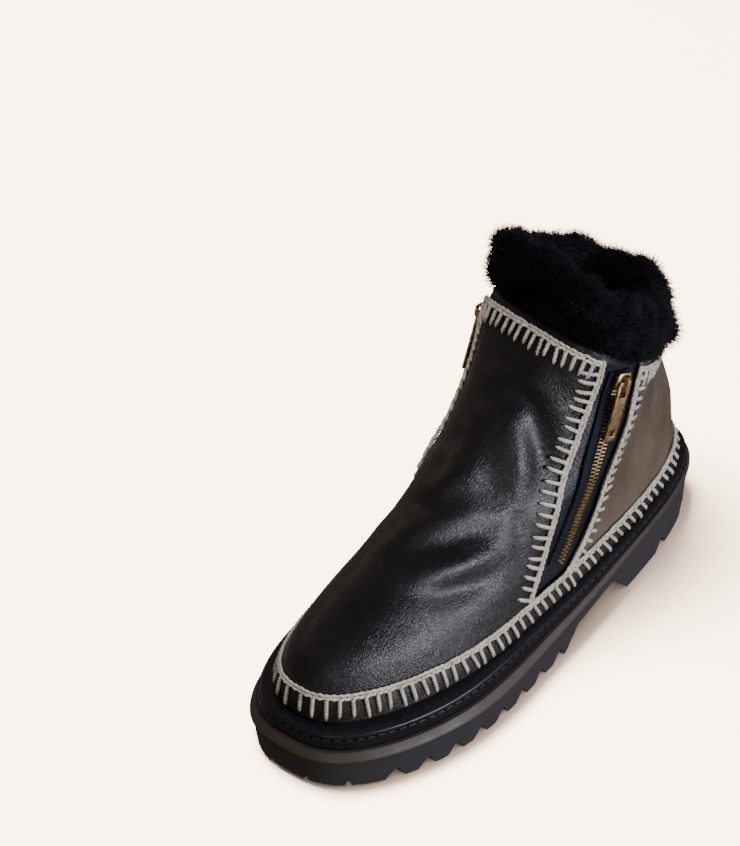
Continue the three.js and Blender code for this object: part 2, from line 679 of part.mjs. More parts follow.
function makeLock(angle, row, random) {
  const { point, ray } = collarPoint(angle, row.out, row.up);
  const lean = THREE.MathUtils.degToRad(row.lean + (random() - 0.5) * 30);
  const way = ray.clone().multiplyScalar(Math.cos(lean)).add(new THREE.Vector3(0, 0, Math.sin(lean)));
  const swirl = new THREE.Vector3(-ray.y, ray.x, 0);
  way.addScaledVector(swirl, (random() - 0.5) * 0.8).normalize();
  const front = (1 + Math.cos(angle)) / 2;
  const size = row.size * (0.85 + 0.3 * random()) * (1 - FUR_FRONT.smaller * front);
  const lock = new THREE.IcosahedronGeometry(size, 0);
  lock.rotateY(random() * Math.PI);
  lock.scale(1, LOCK_LENGTH, 1);
  lock.applyQuaternion(new THREE.Quaternion().setFromUnitVectors(new THREE.Vector3(0, 1, 0), way));
  lock.translate(point.x, point.y, point.z);
  return lock;
}

function makeFurCollar() {
  const random = randomSource(LOCK_SEED);
  const rings = angles.map((angle) => FUR_SECTION.map((corner) => {
    return collarPoint(angle, corner.out, corner.up).point.toArray();
  }));
  let body = toManifold(closedLoft(rings.reverse()));
  for (const row of LOCK_ROWS) {
    for (let i = 0; i < row.count; i += 1) {
      const angle = (2 * Math.PI * (i + random() * 0.4)) / row.count;
      body = body.add(toManifold(makeLock(angle, row, random)));
    }
  }
  const leather = toManifold(upperShell(PANEL_ROWS, -UPPER_WALL - GAP, 2 * GAP + PANEL));
  const shells = body.simplify(FUR_DETAIL).subtract(leather).decompose();
  return fromManifold(shells.sort((a, b) => b.volume() - a.volume())[0]); // without the air shut in by locks
}

// Assembly

const finishes = {
  treadRubber: { color: 0x2e2c30, roughness: 0.75, metalness: 0 },
  glossRubber: { color: 0x141416, roughness: 0.3, metalness: 0 },
  randLeather: { color: 0x1b1715, roughness: 0.5, metalness: 0 },
  footbed: { color: 0x2b2422, roughness: 0.9, metalness: 0 },
  softLeather: { color: 0x101013, roughness: 0.35, metalness: 0 },
  counterLeather: { color: 0x2b2420, roughness: 0.4, metalness: 0 },
  yarn: { color: 0xbdb3a4, roughness: 0.9, metalness: 0 },
  tape: { color: 0x14161f, roughness: 0.8, metalness: 0 },
  brass: { color: 0x8a6a3a, roughness: 0.35, metalness: 1 },
  fur: { color: 0x08080b, roughness: 0.95, metalness: 0 },
};

function piece(name, geometry, finish) {
  const mesh = new THREE.Mesh(geometry, new THREE.MeshStandardMaterial(finish));
  mesh.name = name;
  return mesh;
}

const boot = new THREE.Group();
boot.add(piece("outsole", makeOutsole(), finishes.treadRubber));
boot.add(piece("midsole", makeMidsole(), finishes.glossRubber));
boot.add(piece("welt", makeWelt(), finishes.glossRubber));
boot.add(piece("insole", makeInsole(), finishes.footbed));
boot.add(piece("upper", makeUpper(), finishes.softLeather));
boot.add(piece("rand", makeRand(), finishes.randLeather));
boot.add(piece("vamp", makePanel(VAMP_EDGE, SOLE_LENGTH), finishes.softLeather));
boot.add(piece("counter", makePanel(COUNTER_EDGE, -SOLE_LENGTH), finishes.counterLeather));
boot.add(piece("fur_collar", makeFurCollar(), finishes.fur));
boot.add(piece("edging_rand", makeRandEdging(), finishes.yarn));
boot.add(piece("edging_vamp", makeVampEdging(), finishes.yarn));

for (const [side, word] of [[1, "outer"], [-1, "inner"]]) {
  boot.add(piece(`edging_counter_${word}`, makeCounterEdging(side), finishes.yarn));
  boot.add(piece(`zip_tape_${word}`, makeZipTape(side), finishes.tape));
  boot.add(piece(`zip_chain_${word}`, makeZipChain(side), finishes.brass));
  const frame = sliderFrame(side);
  frame.add(piece(`slider_${word}`, makeSlider(), finishes.brass));
  const pull = piece(`pull_tab_${word}`, makePull(), finishes.brass);
  pull.position.set(HINGE.along, 0, HINGE.out);
  pull.rotation.y = -HINGE.restLean;
  frame.add(pull);
  boot.add(frame);
}

// The origin lies on the floor under the middle of the boot
boot.updateMatrixWorld(true);
const box = new THREE.Box3().setFromObject(boot, true);
boot.position.set(-(box.min.x + box.max.x) / 2, -(box.min.y + box.max.y) / 2, 0);

export default boot;
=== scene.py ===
# %% [markdown]
# A left ankle boot, dressed for its photograph. The hard model gives every piece its place; this
# script gives the boot its leather, yarn, fur, brass and rubber. All lengths in the tables are in
# millimetres, and MM turns them into Blender's metres.

# %% The frame
import math

import bpy
import numpy as np
from mathutils import Matrix, Vector


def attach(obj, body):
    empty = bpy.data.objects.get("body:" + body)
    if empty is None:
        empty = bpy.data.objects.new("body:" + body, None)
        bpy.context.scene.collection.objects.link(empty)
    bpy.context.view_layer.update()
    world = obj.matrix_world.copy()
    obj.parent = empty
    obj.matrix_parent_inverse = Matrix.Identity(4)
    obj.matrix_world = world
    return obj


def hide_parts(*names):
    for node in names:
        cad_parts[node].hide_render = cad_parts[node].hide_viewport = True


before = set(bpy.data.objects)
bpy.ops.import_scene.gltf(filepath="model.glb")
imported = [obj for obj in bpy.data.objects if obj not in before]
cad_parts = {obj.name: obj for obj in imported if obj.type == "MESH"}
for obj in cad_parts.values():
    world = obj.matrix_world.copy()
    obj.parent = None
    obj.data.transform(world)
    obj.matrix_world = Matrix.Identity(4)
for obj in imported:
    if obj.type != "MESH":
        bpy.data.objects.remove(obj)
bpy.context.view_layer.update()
MM = 0.001
SIDE_SHIFT = 0.6105  # the whole boot stands this far to the outer side of its tables' middle line

# %% [markdown]
# The photograph looks down on the boot from in front of its outer side, through a long lens. The
# camera keeps that angle, and turns a little to put the boot right of the picture's middle, because
# a shifted lens would spoil the other views.

# %% Camera
VIEW_TURN, VIEW_HEIGHT = math.radians(38.16), math.radians(42.63)
VIEW_DISTANCE = 2240
LENS, FILM = 199.4, 36
BOOT_MIDDLE = Vector((0, SIDE_SHIFT, 40))
AIM_RIGHT, AIM_UP = -54.3, 64.5

view_way = -Vector((math.cos(VIEW_HEIGHT) * math.cos(VIEW_TURN),
                    math.cos(VIEW_HEIGHT) * math.sin(VIEW_TURN), math.sin(VIEW_HEIGHT)))
right = Vector((-math.sin(VIEW_TURN), math.cos(VIEW_TURN), 0))
up = right.cross(view_way)
camera_data = bpy.data.cameras.new("camera")
camera_data.lens, camera_data.sensor_width = LENS, FILM
camera_data.clip_end = 20
camera = bpy.data.objects.new("camera", camera_data)
bpy.context.collection.objects.link(camera)
eye = BOOT_MIDDLE - view_way * VIEW_DISTANCE
aim = BOOT_MIDDLE + right * AIM_RIGHT + up * AIM_UP
away = (eye - aim).normalized()
side = up.cross(away).normalized()
turn = Matrix((side, away.cross(side), away)).transposed()
camera.matrix_world = Matrix.Translation(eye * MM) @ turn.to_4x4()
bpy.context.scene.camera = camera
print("camera at", [round(value) for value in eye], "mm")

# %% [markdown]
# A node setup is easiest to read when each node is made, set and wired in one line. These helpers
# do that for materials and for geometry trees alike.

# %% Node helpers
def add_node(tree, kind, settings=None, **inputs):
    """A new node. settings are its properties; inputs are values or sockets, by input name."""
    node = tree.nodes.new(kind)
    for key, value in (settings or {}).items():
        setattr(node, key, value)
    for key, value in inputs.items():
        socket = next(s for s in node.inputs if s.name == key.replace("_", " ") and s.enabled)
        if isinstance(value, bpy.types.NodeSocket):
            tree.links.new(value, socket)
        else:
            socket.default_value = value
    return node


def calculate(tree, kind, operation, values):
    """The result of a calculation on numbers, vectors or sockets, in the order of its inputs."""
    node = add_node(tree, kind, {"operation": operation})
    for socket, value in zip(node.inputs, values):
        if isinstance(value, bpy.types.NodeSocket):
            tree.links.new(value, socket)
        else:
            socket.default_value = value
    return node.outputs[0]


def math_node(tree, operation, *values):
    return calculate(tree, "ShaderNodeMath", operation, values)


def vector_node(tree, operation, *values):
    return calculate(tree, "ShaderNodeVectorMath", operation, values)


def scaled_vector(tree, vector, factor):
    return add_node(tree, "ShaderNodeVectorMath", {"operation": "SCALE"}, Vector=vector,
                    Scale=factor).outputs[0]


def chance(tree, kind, low, high, seed):
    """A random number or vector for each point, between two ends."""
    node = add_node(tree, "FunctionNodeRandomValue", {"data_type": kind}, Min=low, Max=high, Seed=seed)
    return next(socket for socket in node.outputs if socket.enabled)


# %% [markdown]
# Every material here is a Principled shader with a pattern for its colour, and most have patterns
# for roughness or bump too. The patterns read Object coordinates, which are metres on this boot, so
# a noise of scale 400 has lumps about 2.5 mm wide.

# %% Material helpers
def start_material(name, roughness=0.5, metallic=0.0, specular=0.5):
    """A material with its tree, shader and object coordinates."""
    material = bpy.data.materials.new(name)
    material.use_nodes = True
    tree = material.node_tree
    shader = next(node for node in tree.nodes if node.type == "BSDF_PRINCIPLED")
    shader.inputs["Roughness"].default_value = roughness
    shader.inputs["Metallic"].default_value = metallic
    shader.inputs["Specular IOR Level"].default_value = specular
    where = tree.nodes.new("ShaderNodeTexCoord").outputs["Object"]
    return material, tree, shader, where


def noise(tree, where, scale, detail=3.0, roughness=0.55, stretch=None):
    """A noise value; stretch squeezes the pattern along x, y and z."""
    if stretch:
        where = add_node(tree, "ShaderNodeMapping", Vector=where, Scale=stretch).outputs[0]
    return add_node(tree, "ShaderNodeTexNoise", Vector=where, Scale=scale, Detail=detail,
                    Roughness=roughness).outputs[0]


def spread(tree, value, low, high, to_low, to_high):
    """A value moved from one range to another, and held inside it."""
    node = tree.nodes.new("ShaderNodeMapRange")
    tree.links.new(value, node.inputs[0])
    for socket, number in zip(node.inputs[1:5], (low, high, to_low, to_high)):
        socket.default_value = number
    return node.outputs[0]


def mix_colours(tree, factor, first, second):
    """A colour between two colours or sockets."""
    node = tree.nodes.new("ShaderNodeMix")
    node.data_type = "RGBA"
    sockets = [node.inputs[0], node.inputs[6], node.inputs[7]]
    for socket, value in zip(sockets, (factor, first, second)):
        if isinstance(value, bpy.types.NodeSocket):
            tree.links.new(value, socket)
        elif isinstance(value, (int, float)):
            socket.default_value = value
        else:
            socket.default_value = (*value, 1)
    return node.outputs[2]


def add_bump(tree, shader, height, depth):
    """Relief of a depth in millimetres, laid over any that the shader already has."""
    bump = add_node(tree, "ShaderNodeBump", Height=height, Distance=depth * MM, Strength=1.0)
    if shader.inputs["Normal"].is_linked:
        tree.links.new(shader.inputs["Normal"].links[0].from_socket, bump.inputs["Normal"])
    tree.links.new(bump.outputs[0], shader.inputs["Normal"])


NOISE_RANGE = (0.3, 0.7)  # where nearly all of a noise's values lie


def paint(tree, shader, factor, dark, light):
    """A base colour between two colours."""
    tree.links.new(mix_colours(tree, factor, dark, light), shader.inputs["Base Color"])


def rub(tree, shader, value, polish):
    """A roughness that a noise moves between two ends."""
    tree.links.new(spread(tree, value, *NOISE_RANGE, *polish), shader.inputs["Roughness"])


# %% [markdown]
# Soft glossy leather is nearly black. What makes it leather is its fine wrinkle, which breaks a
# highlight into grains, and its uneven polish. A Voronoi pattern gives the net of the pores, a noise
# warps it, two more lay wrinkle and grain over it, and a slow one moves the polish about.

# %% Leather
CLOUD_SCALE, POLISH_SCALE, WARP_SCALE, NET_SCALE, WRINKLE_SCALE, GRAIN_SCALE = 28, 55, 240, 640, 190, 900
WRINKLE_STRETCH = (1.3, 0.45, 1.3)  # the wrinkles run from side to side
WARP_REACH = 0.004
PORE_EDGE, PORE_DEPTH = 0.16, 0.07


def make_leather(name, dark, light, polish, wrinkle, grain=0.16, coat=0.0):
    """Leather. wrinkle and grain are depths in millimetres, polish the two ends of its roughness."""
    material, tree, shader, where = start_material(name)
    paint(tree, shader, spread(tree, noise(tree, where, CLOUD_SCALE, 4), 0.35, 0.7, 0, 1), dark, light)
    rub(tree, shader, noise(tree, where, POLISH_SCALE, 5), polish)
    warp = add_node(tree, "ShaderNodeTexNoise", Vector=where, Scale=WARP_SCALE, Detail=2)
    moved = vector_node(tree, "MULTIPLY_ADD", warp.outputs["Color"], [WARP_REACH] * 3, where)
    net = add_node(tree, "ShaderNodeTexVoronoi", {"feature": "DISTANCE_TO_EDGE"}, Vector=moved,
                   Scale=NET_SCALE)
    pores = spread(tree, net.outputs["Distance"], 0.0, PORE_EDGE, 0, 1)
    add_bump(tree, shader, noise(tree, where, WRINKLE_SCALE, 4, 0.6, WRINKLE_STRETCH), wrinkle)
    add_bump(tree, shader, noise(tree, where, GRAIN_SCALE, 3), grain)
    add_bump(tree, shader, pores, PORE_DEPTH)
    shader.inputs["Coat Weight"].default_value = coat
    shader.inputs["Coat Roughness"].default_value = 0.22
    return material


vamp_leather = make_leather("vamp_leather", (0.0025, 0.0025, 0.0045), (0.0055, 0.0052, 0.0085),
                            (0.31, 0.44), wrinkle=0.26, grain=0.26, coat=0.06)
# Painted reflection: the counter is black leather, and its taupe base colour stands for the pale floor that
# it mirrors at a grazing angle.
counter_leather = make_leather("counter_leather", (0.078, 0.055, 0.04), (0.135, 0.1, 0.076),
                               (0.4, 0.55), wrinkle=0.25)
rand_leather = make_leather("rand_leather", (0.005, 0.0035, 0.003), (0.011, 0.008, 0.006),
                            (0.36, 0.52), wrinkle=0.2)
gusset_leather = make_leather("gusset_leather", (0.0035, 0.004, 0.009), (0.007, 0.008, 0.016),
                              (0.34, 0.5), wrinkle=0.2)
print("leathers:", vamp_leather.name, counter_leather.name, rand_leather.name, gusset_leather.name)

# %% [markdown]
# The sole has three finishes: matt rubber with a faint moulded speckle for the tread, a warmer
# grey edge where the tread's rim is skived, and a glossy black band above it with fine lengthwise
# streaks.

# %% Rubber
SPECKLE_SCALE, STREAK_SCALE, STREAK_STRETCH = 900, 160, (0.25, 0.25, 6)


def make_rubber(name, dark, light, polish, speckle=0.06, streak=0.0):
    """Rubber. speckle and streak are depths in millimetres."""
    material, tree, shader, where = start_material(name, specular=0.4)
    paint(tree, shader, noise(tree, where, 90, 5), dark, light)
    rub(tree, shader, noise(tree, where, 70, 4), polish)
    add_bump(tree, shader, noise(tree, where, SPECKLE_SCALE, 2), speckle)
    if streak:
        add_bump(tree, shader, noise(tree, where, STREAK_SCALE, 3, stretch=STREAK_STRETCH), streak)
    return material


tread_rubber = make_rubber("tread_rubber", (0.019, 0.018, 0.021), (0.031, 0.03, 0.035), (0.5, 0.68))
rim_rubber = make_rubber("rim_rubber", (0.03, 0.024, 0.02), (0.05, 0.041, 0.035), (0.42, 0.6))
band_rubber = make_rubber("band_rubber", (0.004, 0.004, 0.0056), (0.009, 0.009, 0.012), (0.2, 0.34),
                          speckle=0.02, streak=0.12)
welt_rubber = make_rubber("welt_rubber", (0.0045, 0.0045, 0.0075), (0.009, 0.009, 0.013), (0.26, 0.4),
                          speckle=0.03, streak=0.05)

# %% [markdown]
# The yarn is undyed wool mix: light, dull and a little hairy. The fur is so dark that only its
# sheen shows. The brass is an old finish, brown in its hollows and bright where it is rubbed.

# %% Yarn, fur, cloth and brass
def make_yarn():
    material, tree, shader, where = start_material("yarn", roughness=0.85, specular=0.2)
    shade = spread(tree, noise(tree, where, 260, 4), *NOISE_RANGE, 0, 1)
    paint(tree, shader, shade, (0.36, 0.325, 0.275), (0.6, 0.56, 0.49))
    add_bump(tree, shader, noise(tree, where, 1700, 3), 0.2)
    shader.inputs["Sheen Weight"].default_value = 0.25
    shader.inputs["Sheen Roughness"].default_value = 0.5
    return material


def make_fur_finish(name, dark, light):
    material, tree, shader, where = start_material(name, roughness=0.6, specular=0.12)
    paint(tree, shader, noise(tree, where, 180, 3), dark, light)
    shader.inputs["Sheen Weight"].default_value = 0.04
    shader.inputs["Sheen Roughness"].default_value = 0.4
    shader.inputs["Sheen Tint"].default_value = (0.6, 0.65, 1, 1)
    return material


def make_cloth():
    material, tree, shader, where = start_material("tape_cloth", roughness=0.8, specular=0.25)
    weave = add_node(tree, "ShaderNodeTexWave", {"bands_direction": "DIAGONAL"}, Vector=where,
                     Scale=700, Distortion=1.5)
    paint(tree, shader, weave.outputs["Fac"], (0.003, 0.0035, 0.008), (0.01, 0.012, 0.024))
    add_bump(tree, shader, weave.outputs["Fac"], 0.12)
    return material


def make_brass():
    material, tree, shader, where = start_material("old_brass", metallic=1.0)
    worn = noise(tree, where, 420, 5, 0.65)
    paint(tree, shader, spread(tree, worn, 0.36, 0.66, 0, 1), (0.22, 0.14, 0.055), (0.75, 0.56, 0.28))
    rub(tree, shader, worn, (0.55, 0.36))
    add_bump(tree, shader, noise(tree, where, 1500, 2), 0.04)
    return material


yarn_finish = make_yarn()
fur_finish = make_fur_finish("black_fur", (0.0022, 0.0022, 0.0028), (0.0075, 0.0075, 0.0095))
pelt_finish = make_fur_finish("fur_ground", (0.0006, 0.0006, 0.0008), (0.001, 0.001, 0.0014))
lining_finish = make_fur_finish("lining_pile", (0.002, 0.002, 0.0024), (0.005, 0.005, 0.006))
tape_cloth = make_cloth()
old_brass = make_brass()
print("finishes:", yarn_finish.name, fur_finish.name, tape_cloth.name, old_brass.name)

# %% [markdown]
# The upper is one smooth form. Its table holds nine rings, from the feather line at the sole to
# the collar, and each ring's half widths at five places from heel to toe. A point is found by its
# height v, from 0 to 1, and its angle round the boot: 0 at the toe, 180 degrees at the heel, and
# positive on the outer side. NumPy works on whole arrays of points at once.

# %% The upper's tables
STATIONS = (-1, -0.5, 0, 0.5, 1)
UPPER_RINGS = (
    # v, back (x, z), front (x, z), dip, turn, half widths, middles, heel round, toe round
    (0, (-136.5, 0), (131.5, 0), 0, 0,
     (40.3, 38.6, 38.8, 42.8, 40.8), (0.5, 0.4, 1.2, -1.3, -6.5), 2.6, 2.6),
    (0.13, (-133.5, 42), (128.5, 48.5), 3, 0,
     (38, 36.2, 36.4, 40, 37.5), (0.5, 0.4, 1, -1.3, -6), 2.5, 2.5),
    (0.25, (-132, 57), (121, 61), 2.5, 0,
     (37, 35.2, 36.4, 36, 34), (0.5, 0.4, 0, -1.4, -5), 2.5, 2.4),
    (0.38, (-129.5, 73), (101, 71.5), 1, 0,
     (36.5, 34.8, 37, 30.5, 30), (0.4, 0.4, -0.5, -1.2, -3.6), 2.5, 2.4),
    (0.52, (-126, 86), (70, 84), 0, -1,
     (35.2, 34.2, 39, 29.5, 26.5), (0.3, 0.4, -0.8, -0.8, -2), 2.5, 2.2),
    (0.66, (-122.5, 96), (36, 100), 0, -2,
     (33, 33.6, 40.5, 31, 26), (0.3, 0.4, -1, -0.8, -1), 2.5, 1.95),
    (0.8, (-119.5, 103.5), (2, 123), 0, -4,
     (30.5, 33.2, 41.5, 34.5, 26), (0.6, 0.5, -1.2, -1, -0.6), 2.35, 2.2),
    (0.91, (-118, 108.5), (-22, 145), 2, -5,
     (28.5, 32.5, 40, 37.5, 36), (0.8, 0.6, -1, -1, -0.8), 2.2, 2.6),
    (1, (-117, 112.5), (-40, 163), 4, -6,
     (28, 32.5, 37.2, 38.6, 38.4), (0.8, 0.6, 0.2, -0.3, -0.8), 2.05, 4),
)
TURN, HEEL_ROUND, TOE_ROUND = 4, 7, 8  # columns of the table
RING_PLACES = [ring[0] for ring in UPPER_RINGS]
SOLE_PLACES = (-143, -70, -20, 40, 95, 143)
LEDGE_HEIGHTS = (26.7, 26.5, 22.4, 18.2, 18.8, 20.3)
STACK_SCALES = (0.5, 0.47, 0.66, 1, 1, 1)
TREAD_LIFTS = (0, 0, 0, 0, 0.5, 3.7)
GAP, PANEL, UPPER_WALL = 0.3, 1.2, 2.2
RAND_TOP = 0.13
SIDES = ((1, "outer"), (-1, "inner"))


def along(places, values, at):
    """A smooth curve through values at places. values may hold a column for each entry of at."""
    places, values = np.asarray(places, float), np.asarray(values, float)
    at = np.clip(np.asarray(at, float), places[0], places[-1])
    if values.ndim == 1:
        values = np.repeat(values[:, None], at.size, axis=1)
    steps = np.diff(places)[:, None]
    rises = np.diff(values, axis=0) / steps
    middle = (rises[:-1] * steps[1:] + rises[1:] * steps[:-1]) / (steps[1:] + steps[:-1])
    slopes = np.vstack([rises[:1], middle, rises[-1:]])
    i = np.clip(np.searchsorted(places, at.ravel(), side="right") - 1, 0, len(steps) - 1)
    step = steps[i, 0]
    column = np.arange(at.size)
    t = (at.ravel() - places[i]) / step
    start = (1 + 2 * t) * (1 - t) ** 2 * values[i, column] + t * (1 - t) ** 2 * step * slopes[i, column]
    end = t * t * (3 - 2 * t) * values[i + 1, column] + t * t * (t - 1) * step * slopes[i + 1, column]
    return (start + end).reshape(at.shape)


def full_turn(count):
    """Evenly spaced angles all the way round."""
    return np.linspace(0, 2 * math.pi, count, endpoint=False)


def ring_values(column, v):
    """One column of the table of rings, at heights v."""
    return along(RING_PLACES, [ring[column] for ring in UPPER_RINGS], v)


def ledge_at(x):
    return along(SOLE_PLACES, LEDGE_HEIGHTS, x)


def stack_at(x):
    return along(SOLE_PLACES, STACK_SCALES, x)


print("ledge heights along the sole:", np.round(ledge_at(np.array([-100.0, 0, 100])), 1))

# %% [markdown]
# Everything on the upper is placed on one surface. This cell turns a height share v and an angle
# round the foot into a point in millimetres, and into the direction that faces away from the foot
# there. Such a surface could also be a NURBS patch. A formula over the table is used because every
# later piece can ask it for any point.

# %% The upper's surface
WELT_TOP = 13.6
TINY = 1e-3  # a step small enough to measure a slope with


def power(value, round_off):
    """The rounding of a superellipse, which makes a plan squarer as round_off grows."""
    return np.sign(value) * np.abs(value) ** (2 / round_off)


def upper_at(v, angle):
    """Points of the upper's outer face, in millimetres."""
    v, angle = np.broadcast_arrays(np.asarray(v, float), np.asarray(angle, float))
    shape, v, angle = v.shape, v.ravel(), angle.ravel()
    round_off = np.where(np.cos(angle) > 0, ring_values(TOE_ROUND, v), ring_values(HEEL_ROUND, v))
    c, s = power(np.cos(angle), round_off), power(np.sin(angle), round_off)
    rows = {"x": [], "z": [], "half": [], "middle": []}
    for number, (_, back, front, dip, _, halves, middles, _, _) in enumerate(UPPER_RINGS):
        x = (back[0] + front[0]) / 2 + (front[0] - back[0]) / 2 * c
        level = (back[1] + front[1]) / 2 + (front[1] - back[1]) / 2 * c
        feather = ledge_at(x) + WELT_TOP * stack_at(x) + 3 * GAP
        rows["x"].append(x)
        rows["z"].append(feather if number == 0 else level - dip * (1 - c * c))
        rows["half"].append(along(STATIONS, halves, c))
        rows["middle"].append(along(STATIONS, middles, c))
    x, z, half, middle = (along(RING_PLACES, rows[key], v) for key in ("x", "z", "half", "middle"))
    turn = np.radians(ring_values(TURN, v))
    points = np.stack([x - np.sin(turn) * half * s, middle + half * s + SIDE_SHIFT, z], -1)
    return points.reshape(shape + (3,))


def unit(vectors):
    return vectors / np.maximum(np.linalg.norm(vectors, axis=-1, keepdims=True), 1e-9)


def upper_out(v, angle):
    """Directions that point out from the upper."""
    v, angle = np.broadcast_arrays(np.asarray(v, float), np.asarray(angle, float))
    rise = upper_at(np.minimum(v + TINY, 1), angle) - upper_at(np.maximum(v - TINY, 0), angle)
    round_way = upper_at(v, angle + 0.01) - upper_at(v, angle - 0.01)
    out = np.cross(round_way, rise)
    out[..., 2] = np.where(v <= 0, 0, out[..., 2])
    return unit(out)


print("a point on the toe:", np.round(upper_at(0.3, 0.0), 1))

# %% [markdown]
# The edges of the panels are drawn in side view, as a cutter would mark them on the last. At each
# height v the script looks for the angle where the ring crosses such a line. Halving the interval
# forty times is slow by hand and instant for an array.

# %% Edges of the panels
VAMP_EDGE = ((19, 36), (15, 44), (4, 61), (-8.5, 84), (-27, 112), (-37.5, 130), (-45, 154), (-49, 172))
COUNTER_EDGE = ((0, 31), (-13, 41), (-27, 50.5), (-37.5, 62.5), (-45, 80),
                (-52, 100), (-60.5, 120), (-68.5, 136), (-75, 150))
ZIP_LINE = ((-6, 49), (-17, 62.5), (-27.5, 84), (-40, 108), (-49.5, 126), (-56, 145))


def edge_angle(side, edge, v):
    """The angle at which an edge crosses the rings at heights v, on side 1 or -1."""
    v = np.asarray(v, float)
    low, high = np.full(v.shape, 0.02), np.full(v.shape, math.pi - 0.02)
    for _ in range(40):
        middle = (low + high) / 2
        point = upper_at(v, side * middle)
        before = point[..., 0] > along([z for _, z in edge], [x for x, _ in edge], point[..., 2])
        low, high = np.where(before, middle, low), np.where(before, high, middle)
    return side * (low + high) / 2


def even_path(points):
    """Distances along a path of points, from its first point."""
    return np.concatenate([[0], np.cumsum(np.linalg.norm(np.diff(points, axis=0), axis=1))])


def points_at(places, run, points):
    """Points at distances along a path."""
    return np.stack([np.interp(places, run, points[:, i]) for i in range(3)], -1)


def edge_places(side, edge, from_v, to_v, count=160):
    """Places (v, angle) up an edge, closely spaced."""
    v = np.linspace(from_v, to_v, count)
    return v, edge_angle(side, edge, v)


top_v, top_angle = edge_places(1, VAMP_EDGE, 0.9, 0.98, 3)
print("vamp edge near its top:", np.round(upper_at(top_v, top_angle), 1).tolist())

# %% [markdown]
# Most pieces are grids of points that follow the upper. One helper turns a grid into a mesh, and
# another hands a finished piece to the frame: which body it moves with and which piece of the hard
# model it stands for.

# %% Mesh helpers
def grid_mesh(name, points, closed_rows=False, closed_columns=False):
    """A mesh of quads through an array of points (rows, columns, 3) in millimetres."""
    rows, columns = points.shape[:2]
    r = np.arange(rows if closed_rows else rows - 1)[:, None]
    k = np.arange(columns if closed_columns else columns - 1)[None, :]
    a = r * columns + k
    b = r * columns + (k + 1) % columns
    c = (r + 1) % rows * columns + (k + 1) % columns
    d = (r + 1) % rows * columns + k
    quads = np.stack([a, b, c, d], -1).reshape(-1, 4)
    mesh = bpy.data.meshes.new(name)
    mesh.from_pydata((points.reshape(-1, 3) * MM).tolist(), [], quads.tolist())
    mesh.polygons.foreach_set("use_smooth", np.ones(len(mesh.polygons), bool))
    mesh.update()
    return mesh


def new_object(name, mesh, *finishes):
    thing = bpy.data.objects.new(name, mesh)
    bpy.context.collection.objects.link(thing)
    for finish in finishes:
        thing.data.materials.append(finish)
    return thing


def freeze(thing):
    """Turns a piece with modifiers, or a curve, into a plain mesh object of the same name."""
    name = thing.name
    evaluated = thing.evaluated_get(bpy.context.evaluated_depsgraph_get())
    mesh = bpy.data.meshes.new_from_object(evaluated)
    mesh.name = name
    bpy.data.objects.remove(thing)
    return new_object(name, mesh)


def triangles(thing):
    return sum(len(polygon.vertices) - 2 for polygon in thing.data.polygons)


def hand_over(piece, slot, *nodes, body="boot"):
    """The piece rides on a body and stands for nodes of the hard model. Its slot is not used."""
    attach(piece, body)
    if nodes:
        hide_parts(*nodes)
    print(piece.name, triangles(piece), "triangles")


def refinish(piece, finish):
    """Gives a piece of the hard model one finish, and leaves its shape as it is."""
    piece.data.materials.clear()
    piece.data.materials.append(finish)


def thicken(piece, thickness, even=False):
    """Gives a sheet its thickness in millimetres, under its outer face."""
    thick = piece.modifiers.new("thickness", "SOLIDIFY")
    thick.thickness, thick.offset = thickness * MM, -1
    thick.use_even_offset = even


def round_edges(piece, width, from_degrees):
    """A small bevel on every edge sharper than an angle."""
    bevel = piece.modifiers.new("bevel", "BEVEL")
    bevel.width, bevel.segments, bevel.limit_method = width * MM, 2, "ANGLE"
    bevel.angle_limit = math.radians(from_degrees)


def set_input(thing, tree, **values):
    """Adds a geometry tree to an object and sets the tree's named inputs by their identifiers."""
    modifier = thing.modifiers.new("nodes", "NODES")
    modifier.node_group = tree
    sockets = {item.name: item.identifier for item in tree.interface.items_tree if item.in_out == "INPUT"}
    for name, value in values.items():
        modifier[sockets[name.replace("_", " ")]] = value


def start_tree(name, **inputs):
    """A geometry tree with named inputs. Returns the tree, its input node and a finishing call."""
    tree = bpy.data.node_groups.new(name, "GeometryNodeTree")
    kinds = {float: "NodeSocketFloat", int: "NodeSocketInt", str: "NodeSocketMaterial"}
    tree.interface.new_socket("Geometry", in_out="INPUT", socket_type="NodeSocketGeometry")
    for key, value in inputs.items():
        socket = tree.interface.new_socket(key.replace("_", " "), in_out="INPUT",
                                           socket_type=kinds[type(value)])
        if not isinstance(value, str):
            socket.default_value = value
    tree.interface.new_socket("Geometry", in_out="OUTPUT", socket_type="NodeSocketGeometry")
    source = tree.nodes.new("NodeGroupInput")

    def end(geometry):
        smooth = add_node(tree, "GeometryNodeSetShadeSmooth", Geometry=geometry)
        real = add_node(tree, "GeometryNodeRealizeInstances", Geometry=smooth.outputs[0])
        finish = add_node(tree, "GeometryNodeSetMaterial", Geometry=real.outputs[0],
                          Material=source.outputs["Material"])
        tree.links.new(finish.outputs[0], tree.nodes.new("NodeGroupOutput").inputs[0])

    return tree, source, end


print("helpers ready")
